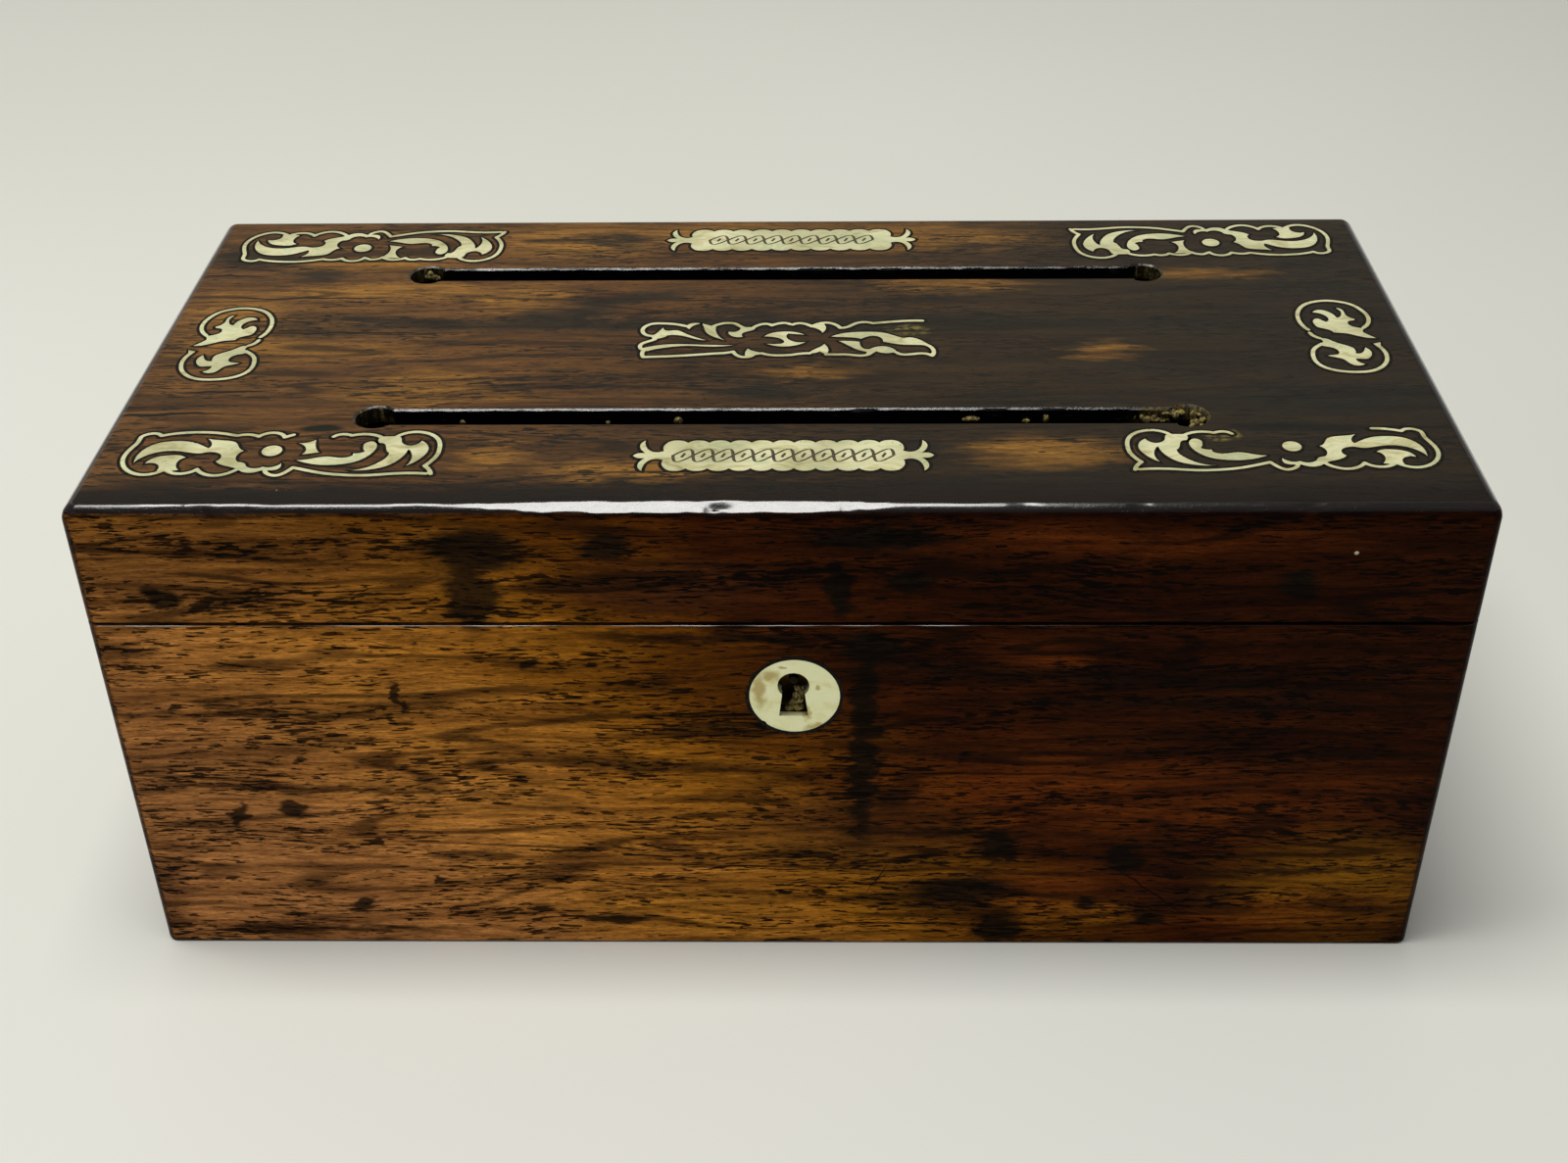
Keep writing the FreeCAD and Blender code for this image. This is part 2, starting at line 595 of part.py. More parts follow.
# short leaf beside the flower: where the border above it is lost, only its tip is left
short_leaf_whole = [[(5.9, 0.4), (5.8, 2.2), (4.3, 4.8)], [(8.8, 4.9)],
                    [(7.6, 3.2), (7.3, 1.4), (8.4, -0.6)], [(7, -1), (5.4, -1.3)]]
short_leaf_tip = [[(5.5, 2.8), (7, 3.8)], [(7.2, 2.3), (7.7, 0.6), (8.4, -0.6)],
                  [(7, -1), (5.4, -1.3)], [(5.8, 0.4), (5.2, 1.7), (4, 2.6)]]
outer_border = [
    [(-20.7, 5.2), (-21.7, 6), (-23, 5.9), (-24.1, 5), (-24.2, 3.4), (-24.8, 1), (-25.3, -2), (-24.6, -4.8),
     (-22.9, -6.9), (-20.2, -7.9), (-18.2, -7.3), (-17, -6)],
    [(-17, -6), (-15.8, -7.2), (-14.2, -7.6), (-12.6, -7.2), (-11.5, -6.1)],
    [(-11.5, -6.1), (-9.9, -7.7), (-8, -8.2), (-6.1, -7.6), (-4.7, -6.3)],
]
slot_side_outer = [
    [(-20.7, 5.2), (-18.4, 6), (-15.3, 6.4), (-12.6, 6.4), (-10, 6), (-7.3, 5.2)],
    [(-7.3, 5.2), (-5.4, 5.6), (-3.4, 4.9)],
    [(-3.4, 4.9), (-1.9, 6.1), (-0.3, 6.1), (1.2, 4.6)],
    [(1.2, 4.6), (2.6, 5.5)],
]
slot_side_bridge = [
    [(2.6, 5.5), (4.2, 5.2), (5, 4.4)],
    [(5, 4.4), (6.8, 5.6), (8.6, 5.5), (9.8, 4.8)],
]
slot_side_inner = [
    [(9.8, 4.8), (10.9, 5.6), (12, 5.6), (12.9, 5.2)],
    [(12.9, 5.2), (14.3, 5.6), (16, 5.6), (17.3, 5.2), (18.2, 4.6)],
]
inner_border = [
    [(20.9, 4.7), (22.2, 5.9), (23.9, 6.4), (25.8, 6.1), (27.4, 5.1), (28.6, 3.3), (29.1, 0.8), (29, -1.6),
     (28.3, -3.6), (27.4, -5.1)],
    [(27.4, -5.1), (28.4, -6.4), (28.9, -7.8)],
    [(28.1, -7.7), (25.8, -7.5), (22, -7.7), (18.1, -8.2), (14.3, -8.1), (10.4, -7.5),
     (7.6, -6.6), (4.9, -5.6)],
    [(4.9, -5.6), (3.9, -7.2), (2.6, -8.2), (1.3, -7.9), (0.3, -6.7)],
]
flower_radius = 1.85

# One end scroll: u = 0 at its middle, the box's end on the high side.
scroll_leaves = [
    [[(4.3, -1), (2.8, -0.2), (1.3, 0.6), (-0.2, 0.9), (-1.1, 1)],
     [(-1.7, 2.1), (-2.7, 2.7), (-3.6, 3.2), (-4.1, 4.5), (-4.1, 5.8), (-3.6, 6.7), (-2.9, 6.9),
      (-2, 5.9), (-1.6, 5.5)],
     [(-1.1, 6), (-0.9, 7), (-1.2, 8), (-2, 8.9), (-3.4, 9.4)],
     [(-2.9, 10.2), (-1.8, 10.6), (-0.7, 10.2), (0.2, 9.2), (0.7, 8.2), (0.8, 7.2)],
     [(1.4, 7.5), (1.9, 8.5), (2.1, 9.7), (1.8, 10.7), (1.5, 11.4)],
     [(2.4, 11), (2.8, 10), (2.8, 8.7), (3.3, 7.4), (4.2, 6.7)],
     [(3.9, 6), (3, 5.8), (2.5, 4.8), (2.7, 4), (3.3, 3.4), (5.4, 2.8)],
     [(4.8, 2.1), (4.6, 1.1)], [(5.5, -0.1), (6.5, -1.3)]],
    [[(-2.9, -1.4), (-1.7, -2.7), (0.3, -4.2), (1.3, -5.2), (1.5, -6.5), (1.3, -7.4)],
     [(2.3, -7.2), (3, -6.2), (3.5, -4.9)],
     [(4.2, -6), (4.3, -7.5), (3.8, -8.7), (2.8, -9.6), (1.6, -9.5), (0.8, -9.4)],
     [(1.1, -10.7), (2.1, -11.5)],
     [(1.3, -12.1), (0.1, -12.1), (-0.9, -11), (-1.7, -9.5), (-2.7, -9), (-4.2, -8.2)],
     [(-3, -7.9), (-2.1, -7.6), (-1.8, -6.3), (-2.6, -5.1), (-3.6, -4.7)],
     [(-4.6, -4.2)], [(-3.9, -2.9), (-4.3, -1.5)]],
]
scroll_lines = [
    [(-5.6, 2.2), (-6.2, 3.5), (-6.6, 5.5), (-6.6, 7.5), (-6.2, 9.5), (-5.4, 11.3), (-4, 13),
     (-2, 14.1), (0.5, 14.5), (2.8, 14), (4.9, 12.7), (6.1, 10.8), (6.8, 8.5), (6.8, 6.5),
     (6.2, 4.6), (5, 3)],
    [(-5.6, 1), (-5.2, -0.2), (-4.1, -1.3)],
    [(-4.1, -3.4), (-5.2, -4.4), (-6.2, -5.7), (-6.8, -7.8), (-6.9, -9.8), (-6.2, -12),
     (-4.5, -13.6), (-2.2, -14.4), (0, -14.6), (2.3, -14.3), (4.5, -13), (6, -11), (6.7, -8.8),
     (6.8, -6.8), (6.4, -5), (5.9, -3.8)],
]
scroll_wedge = [[[(6.9, -2.9)], [(5.3, -3.5)], [(5.9, -4.6), (6.5, -5)]]]

# The centre panel: u and v are measured from the lid's middle.
centre_leaves = [
    # forked leaf of the left end
    [[(-24.3, 4.2), (-23.7, 5.4), (-22.9, 6.8)],
     [(-22.1, 5.5), (-20.4, 5.7), (-18.5, 4.3), (-16.5, 2.8), (-14.4, 1.4)],
     [(-16.5, 1.9), (-18.5, 3), (-20.4, 3.6), (-21.9, 3.5)], [(-22.7, 2.6), (-24.2, 2), (-25, 1.5)],
     [(-24.9, 2.6), (-25.6, 3.4)]],
    # long thin leaf of the left end
    [[(-23.8, -0.5), (-20.8, 0), (-17.7, -0.1), (-14.6, -0.3), (-9, -0.5)],
     [(-11.5, -1.1), (-14.6, -1.1), (-17.7, -0.8), (-20.4, -1.1), (-23.1, -1.8), (-25.4, -2.9)],
     [(-26.5, -1.7)]],
    # three leaves that lean on the upper border
    [[(-18.4, 7.9), (-17, 8.7), (-15.8, 8.4)], [(-17, 7.6), (-17.9, 6)]],
    [[(-15.2, 6.6), (-14.6, 4.5), (-13.1, 2.8), (-10.9, 1.4)], [(-11.9, 2.8), (-12.7, 5.1), (-12.8, 7)],
     [(-14, 7.6), (-15.6, 8.4)]],
    [[(-8.8, 5.1), (-8.1, 6.4)], [(-6.4, 6.9), (-5.2, 6.7)], [(-5.5, 5.7), (-6.9, 4.9), (-7.5, 2.8)],
     [(-9.2, 2.8), (-10.2, 3.7), (-10.4, 5)]],
    # hooked strap in the middle ring
    [[(-2.3, 4.3), (0, 5), (2.7, 4.7), (4.3, 3.6)], [(2.6, 3.8), (1.1, 4.1)],
     [(0.9, 2.4), (2, 1), (4.6, 0.8)],
     [(3.1, -0.5), (0.8, -1.2), (-1.5, -0.9), (-3.1, 0)], [(-1.5, -0.1), (-0.3, 0)],
     [(0.3, 0.8), (-0.2, 1.8), (-1.5, 2.6), (-3.6, 2.9)]],
    # leaves below and above the ring's right side
    [[(8.6, -1.4), (8.8, -3), (8.2, -4.4)], [(7.1, -3.2)], [(6, -3.9), (5, -3.9)],
     [(6.2, -2.1), (7.2, -1.2), (7.9, 0)]],
    [[(6.7, 7.7), (7.9, 8.2)], [(8.4, 6.6), (7.6, 4.3)], [(6.9, 5.7), (5.3, 6.7)]],
    [[(-5.3, -2.9), (-4.2, -3.4), (-3.4, -4.1)], [(-5, -4.6), (-6.9, -4.9)], [(-6.9, -2.9), (-6.4, -1.8)]],
    # leaves of the right end
    [[(12.7, 1.1), (14.7, 0.7)], [(14.8, -0.7), (15.4, -2), (16.5, -2.2)],
     [(17.7, -1.3), (19.2, -1.1), (20.8, -1.9), (21.6, -3.4)],
     [(20, -4), (18.5, -3.8), (17.7, -3.2)], [(16.8, -4.2), (15.6, -4.7)], [(15.9, -3.4)],
     [(14.2, -2.6), (12.3, -0.7), (10.6, 1)]],
    [[(11.2, 4.1), (13.8, 4.7), (16.9, 4.8), (19.6, 4.3), (21.9, 2.8), (23.1, 2.2)],
     [(24.6, 2.4), (26.2, 1.4), (27.3, 0.1), (28.2, -1.3)],
     [(27, -0.9), (25.4, -0.7), (22.7, -0.6), (20.4, 0.1), (19, 0.6)],
     [(18.8, 2), (18.1, 2.8), (16.9, 3), (15.8, 2.5), (15, 1.8)], [(13.1, 2.4), (10.8, 2.6), (9.2, 2.8)]],
]
centre_lines = [
    [(-25, 3.3), (-26.3, 4), (-26.9, 5.6), (-26.5, 7.2), (-25.3, 8.3), (-23.1, 8.5),
     (-20.8, 8.2), (-18.6, 7.3)],
    [(-24.2, 2), (-25.6, 1), (-26.7, 0), (-26.9, -1.1), (-26, -2.4)],
    [(-26, -2.4), (-26.3, -3.8), (-26, -5.1)],
    [(-26, -5.2), (-22.3, -5), (-18.8, -4.7), (-15.8, -4.3), (-12.7, -3.9), (-10.4, -3.6), (-9.2, -3.1)],
    [(-9.2, -3.1), (-8.8, -4.1), (-7.7, -5.2), (-6.4, -5.3), (-5.4, -4.5)],
    [(-13.4, 7.1), (-12.3, 8.1), (-10.8, 8.6), (-9.2, 8.3), (-8, 7), (-6.9, 6.4)],
    [(-5.8, 6.3), (-4.8, 7.6), (-3.3, 8.2), (-2.1, 7.5)],
    [(-2.1, 7.5), (-0.7, 8.4), (0.6, 8.5), (1.4, 8)],
    [(1.9, 7.8), (3.5, 8.4), (4.8, 7.8), (5.6, 7)],
    [(5.6, 7), (6.9, 8.2), (8.6, 8.6), (10, 7.9), (11, 6.4)],
    [(11, 6.4), (12.7, 7), (14.2, 8.4), (15.8, 8.8), (17.3, 8.3)],
    [(17.3, 8.3), (19.6, 8.7), (23.1, 9.2), (26.9, 9.3)],
    [(-3.8, -3.8), (-2.3, -4.5), (0, -4.7), (1.9, -4.5)],
    [(1.9, -4.5), (3.5, -4), (5.2, -3.9)],
    [(8.3, -4.4), (10, -4.4), (12.3, -4.4), (14.6, -4.9), (16.1, -4.5), (16.8, -3.3)],
    [(21.4, -3.6), (22.7, -4.5), (25, -4.2), (28.1, -5)],
    [(28.1, -5), (28.5, -3.3), (28, -1.5), (26.8, -0.3)],
]


def label_outline(lobes):
    """A cartouche with scalloped long sides and a three-pointed tip at each end."""
    half_length = 20.3
    half_height = 4.3
    pitch = 2 * half_length / lobes
    upper = []
    for turn in range(lobes):
        left = -half_length + turn * pitch
        upper.append([(left + pitch * 0.14, half_height + 0.55), (left + pitch * 0.5, half_height + 0.9),
                      (left + pitch * 0.86, half_height + 0.55), (left + pitch, half_height)])
    right_tip = [[(20.9, 2.8), (20.7, 1.5)], [(22.8, 1.5), (23.9, 3.6), (24, 5.2)],
                 [(25, 3.4), (24.5, 1.6), (23.8, 0.8)], [(25, 0.9), (26, 0)]]
    right_half = upper + right_tip
    backwards = []
    points = [(-half_length, half_height)] + [point for stroke in right_half for point in stroke]
    lengths = [len(stroke) for stroke in right_half]
    place = len(points) - 1
    for length in reversed(lengths):
        backwards.append([(x, -y) for x, y in points[place - length:place][::-1]])
        place -= length
    left_low = [[(-20.9, -2.8), (-20.7, -1.5)], [(-22.8, -1.5), (-23.9, -3.6), (-24, -5.2)],
                [(-25, -3.4), (-24.5, -1.6), (-23.8, -0.8)], [(-25, -0.9), (-26, 0)]]
    left_high = [[(-25, 0.9), (-23.8, 0.8)], [(-24.5, 1.6), (-25, 3.4), (-24, 5.2)],
                 [(-23.9, 3.6), (-22.8, 1.5), (-20.7, 1.5)], [(-20.9, 2.8), (-half_length, half_height)]]
    return [right_half + backwards + left_low + left_high]


slot_side_stub = [[(-20.7, 5.2), (-18.4, 6), (-15.6, 6.3)]]


def placed(shape, flip_u, flip_v, turn, centre_u, centre_v):
    """Flips a flat design as asked, turns it by some degrees and moves it to its place."""
    if flip_u:
        shape = mirrored_x(shape)
    if flip_v:
        shape = mirrored_y(shape)
    shape = shape.rotated(vector(0, 0, 0), vector(0, 0, 1), turn)
    return shape.translated(vector(centre_u, centre_v, 0))


def corner_design(leaves, slot_side, stretch_u, stretch_v):
    """A corner panel with its flower disc, stretched a little as its hand-cut pieces are."""
    flower = Part.makeCylinder(flower_radius * stretch_v, veneer, vector(0, 0, lid_core_top))
    stretch = FreeCAD.Matrix()
    stretch.scale(stretch_u, stretch_v, 1)
    design = fretted(leaves, outer_border + inner_border + slot_side).transformGeometry(stretch)
    return Part.makeCompound(design.Solids + [flower])


back_leaves = corner_leaves + [short_leaf_whole]
back_slot_side = slot_side_outer + slot_side_bridge + slot_side_inner
back_left_design = corner_design(back_leaves, back_slot_side, 0.99, 1)
back_right_design = corner_design(back_leaves, back_slot_side, 0.97, 1)
front_left_design = corner_design(corner_leaves + [short_leaf_tip], slot_side_outer + slot_side_inner, 1, 1)
front_right_design = corner_design(corner_leaves, slot_side_stub + slot_side_inner, 0.97, 0.93)
scroll = fretted(scroll_leaves + scroll_wedge, scroll_lines)
pearl = {
    "front_left_panel": placed(front_left_design, False, False, 0, -88, -39.2),
    "front_right_panel": placed(front_right_design, True, False, 0.8, 88.4, -38.4),
    "back_left_panel": placed(back_left_design, False, True, 0, -87.9, 43.1),
    "back_right_panel": placed(back_right_design, True, True, 1.8, 88, 44.2),
    "right_scroll": placed(scroll, False, False, 0, 105.7, 2.8),
    "left_scroll": placed(scroll, True, False, 0, -105.6, 1.1),
    "centre_panel": fretted(centre_leaves, centre_lines),
    "front_label": placed(fretted(label_outline(11), []), False, False, 0, 0.8, -41.1),
    "back_label": placed(fretted(label_outline(10), []), False, False, 0, 1.2, 46.3),
}
for name in pearl:
    save(name, pearl[name])
lid_top_veneer = block(-outer_x, outer_x, -outer_y, outer_y, lid_core_top, height).common(lid_form)
save("lid_top_veneer", lid_top_veneer.cut(list(pearl.values()) + slots))
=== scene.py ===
import math
import random

import bmesh
import bpy
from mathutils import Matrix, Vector


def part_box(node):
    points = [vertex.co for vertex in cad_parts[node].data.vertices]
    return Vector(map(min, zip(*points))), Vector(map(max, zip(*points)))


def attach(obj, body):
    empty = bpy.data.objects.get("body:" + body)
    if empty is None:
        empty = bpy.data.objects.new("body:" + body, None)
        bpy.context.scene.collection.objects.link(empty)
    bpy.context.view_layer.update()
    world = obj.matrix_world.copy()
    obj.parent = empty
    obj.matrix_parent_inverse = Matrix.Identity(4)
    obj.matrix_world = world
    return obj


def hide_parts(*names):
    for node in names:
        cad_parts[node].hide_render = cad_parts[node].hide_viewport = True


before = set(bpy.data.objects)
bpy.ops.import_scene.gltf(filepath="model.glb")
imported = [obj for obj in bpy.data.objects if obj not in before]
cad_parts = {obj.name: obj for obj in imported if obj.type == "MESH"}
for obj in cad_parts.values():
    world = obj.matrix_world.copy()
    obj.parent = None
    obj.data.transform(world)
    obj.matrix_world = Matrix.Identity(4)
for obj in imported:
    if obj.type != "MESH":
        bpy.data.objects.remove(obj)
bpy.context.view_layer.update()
MM = 0.001

# Stage: a plain pale table top, a broad ceiling light a little to the left of the box, a large pale
# card behind it whose soft reflection lies on the lid, and the camera that stands before the box and
# looks down on it.
bpy.context.scene.view_settings.view_transform = "Standard"


def tint(red, green, blue):
    """A display colour of 0 to 255 a channel as the linear colour that shaders take."""
    def linear(level):
        level /= 255
        return level / 12.92 if level <= 0.04045 else ((level + 0.055) / 1.055) ** 2.4
    return (linear(red), linear(green), linear(blue), 1)


class Finish:
    """A finish laid up step by step. Each call adds one step and gives back what comes out of it."""

    def __init__(self, name):
        self.material = bpy.data.materials.new(name)
        self.material.use_nodes = True
        self.nodes = self.material.node_tree.nodes
        self.shader = self.nodes["Principled BSDF"]

    def feed(self, socket, value):
        if isinstance(value, bpy.types.NodeSocket):
            self.material.node_tree.links.new(value, socket)
        else:
            socket.default_value = value

    def step(self, kind, inputs, output=0, **settings):
        node = self.nodes.new("ShaderNode" + kind)
        for name, value in settings.items():
            setattr(node, name, value)
        for name, value in inputs.items():
            self.feed(node.inputs[name], value)
        return node.outputs[output]

    def place(self):
        return self.step("TexCoord", {}, "Object")

    def sized(self, where, size):
        """The place measured in units of size, which is a length for each of the three directions."""
        scale = [1 / length for length in size]
        return self.step("Mapping", {"Vector": where, "Scale": scale})

    def noise(self, where, size, detail=3, roughness=0.5, distortion=0, output="Fac"):
        inputs = {"Vector": self.sized(where, size), "Scale": 1, "Detail": detail,
                  "Roughness": roughness, "Distortion": distortion}
        return self.step("TexNoise", inputs, output)

    def calc(self, operation, first, second=0.0):
        return self.step("Math", {0: first, 1: second}, operation=operation)

    def bent(self, where, size, reach):
        """The place pushed about by up to reach, so that what is drawn there wavers."""
        push = self.noise(where, size, 2, output="Color")
        push = self.step("VectorMath", {0: push, 1: (0.5, 0.5, 0.5)}, operation="SUBTRACT")
        push = self.step("VectorMath", {0: push, 1: reach}, operation="MULTIPLY")
        return self.step("VectorMath", {0: where, 1: push}, operation="ADD")

    def between(self, value, low, high, to_low=0.0, to_high=1.0):
        """Runs smoothly from to_low to to_high as the value goes from low to high."""
        inputs = {"Value": value, "From Min": low, "From Max": high, "To Min": to_low, "To Max": to_high}
        return self.step("MapRange", inputs, interpolation_type="SMOOTHSTEP")

    def ramp(self, value, stops):
        """A colour that runs through the stops, each a value from nought to one and its colour."""
        colour = self.step("ValToRGB", {"Fac": value})
        elements = colour.node.color_ramp.elements
        while len(elements) < len(stops):
            elements.new(0.5)
        for element, stop in zip(elements, stops):
            element.position = stop[0]
        for element, stop in zip(elements, stops):
            element.color = stop[1]
        return colour

    def mix(self, share, first, second, blend="MIX"):
        """Two colours blended, with second taking the given share."""
        return self.step("Mix", {0: share, 6: first, 7: second}, 2, data_type="RGBA", blend_type=blend)

    def spots(self, where, flat, places, softness=0.35):
        """How strongly a place lies in any of the given spots, drawn on the face that flat is square to.
        A spot is its two middle coordinates, its two half sizes and its turn, in millimetres and radians."""
        found = 0.0
        for first, second, half_first, half_second, turn in places:
            middle = [first * MM, second * MM]
            half_sizes = [half_first * MM, half_second * MM]
            middle.insert(flat, 0)
            half_sizes.insert(flat, 1)
            turns = [0, 0, 0]
            turns[flat] = turn
            inputs = {"Vector": where, "Location": middle, "Rotation": turns, "Scale": half_sizes}
            offset = self.step("Mapping", inputs, vector_type="TEXTURE")
            away = self.step("VectorMath", {0: offset}, "Value", operation="LENGTH")
            inside = self.between(away, 1 + softness, 1 - softness)
            found = self.calc("MAXIMUM", found, inside)
        return found

    def arris(self):
        """Nought on flat faces and up to one where the surface turns round an edge of the box."""
        facing = self.step("TexCoord", {}, "Normal")
        facing = self.step("VectorMath", {0: facing}, operation="ABSOLUTE")
        parts = self.step("SeparateXYZ", {0: facing})
        flattest = self.calc("MAXIMUM", parts, parts.node.outputs[1])
        flattest = self.calc("MAXIMUM", flattest, parts.node.outputs[2])
        return self.between(flattest, 0.995, 0.88)

    def bump(self, height, depth, strength=1.0, under=None):
        """Relief as deep as depth, laid over the relief under it if there is any."""
        inputs = {"Height": height, "Distance": depth, "Strength": strength}
        if under:
            inputs["Normal"] = under
        return self.step("Bump", inputs)

    def surface(self, **values):
        """Sets the shader's own sockets. An underscore in a name stands for a space."""
        for name, value in values.items():
            self.feed(self.shader.inputs[name.replace("_", " ")], value)
        return self.material


floor_finish = Finish("pale_table")
floor_place = floor_finish.place()
floor_cloud = floor_finish.noise(floor_place, (0.5, 0.5, 0.5), 2)
floor_colour = floor_finish.ramp(floor_cloud, [(0.3, tint(214, 214, 207)), (0.7, tint(222, 222, 216))])
floor_finish.surface(Base_Color=floor_colour, Roughness=0.7)
bpy.ops.mesh.primitive_plane_add(size=8)
table = bpy.context.object
table.name = "table"
table.data.materials.append(floor_finish.material)

world = bpy.data.worlds.new("room")
bpy.context.scene.world = world
world.use_nodes = True
world.node_tree.nodes["Background"].inputs["Color"].default_value = (0.93, 0.96, 1, 1)
world.node_tree.nodes["Background"].inputs["Strength"].default_value = 0.22


def panel_light(name, place, aim, width, depth, watts, colour):
    """A soft rectangular light that faces the point it aims at."""
    data = bpy.data.lights.new(name, "AREA")
    data.shape = "RECTANGLE"
    data.size = width
    data.size_y = depth
    data.energy = watts
    data.color = colour
    light = bpy.data.objects.new(name, data)
    bpy.context.scene.collection.objects.link(light)
    light.location = place
    light.rotation_euler = (Vector(aim) - Vector(place)).to_track_quat("-Z", "Y").to_euler()


panel_light("ceiling_light", (-0.2, -0.05, 1.2), (-0.2, -0.04, 0), 0.7, 0.36, 13, (1, 0.99, 0.95))
panel_light("back_card", (-0.3, 1.5, 1.1), (0, 0, 0.1), 2.6, 1.2, 4.6, (1, 0.95, 0.64))

camera_data = bpy.data.cameras.new("camera")
camera_data.lens = 45.15
camera_data.sensor_width = 36
camera = bpy.data.objects.new("camera", camera_data)
bpy.context.scene.collection.objects.link(camera)
camera.location = (0.00694, -0.3319, 0.2734)
camera.rotation_euler = (0.96797, 0.01091, 0.0142)
bpy.context.scene.camera = camera


# Carcass: seven-millimetre mahogany boards, dovetailed at the corners and glued, with the grain along
# each board. Where the lid's boards show in the two letter slots they are stained black and varnished.
def dress(material, *names):
    """Gives a finish to pieces that the frame already has in their right shape."""
    for name in names:
        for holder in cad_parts[name].material_slots:
            holder.material = material


def mahogany(name, grain):
    """Plain mahogany: red-brown, with fine dark pores along the grain."""
    wood = Finish(name)
    where = wood.place()
    figure = wood.noise(where, [length * 40 * MM for length in grain], 5, 0.6, 0.4)
    colour = wood.ramp(figure, [(0.3, tint(62, 30, 15)), (0.55, tint(96, 50, 24)), (0.75, tint(120, 68, 34))])
    pores = wood.noise(where, [length * 5 * MM for length in grain], 2)
    open_pores = wood.between(pores, 0.58, 0.68)
    colour = wood.mix(open_pores, colour, tint(52, 22, 12))
    lift = wood.bump(open_pores, -0.1 * MM, 0.5)
    return wood.surface(Base_Color=colour, Roughness=0.55, Normal=lift)


along_x = (1, 0.08, 0.08)
along_y = (0.08, 1, 0.08)
dress(mahogany("mahogany_along", along_x), "base_front_board", "base_back_board", "base_bottom_board",
      "divider", "lid_front_rail", "lid_back_rail")
dress(mahogany("mahogany_across", along_y), "base_left_board", "base_right_board", "lid_left_rail",
      "lid_right_rail")

ebonised = Finish("blackened_board")
black_place = ebonised.place()
black_rub = ebonised.noise(black_place, (4 * MM, 1.2 * MM, 1.2 * MM), 4, 0.65)
black_colour = ebonised.ramp(black_rub, [
    (0.55, tint(6, 5, 4)), (0.72, tint(30, 20, 12)), (0.85, tint(92, 70, 44))])
black_lift = ebonised.bump(black_rub, 0.3 * MM, 0.6)
ebonised.surface(Base_Color=black_colour, Roughness=0.22, Normal=black_lift)
dress(ebonised.material, "lid_top_board")


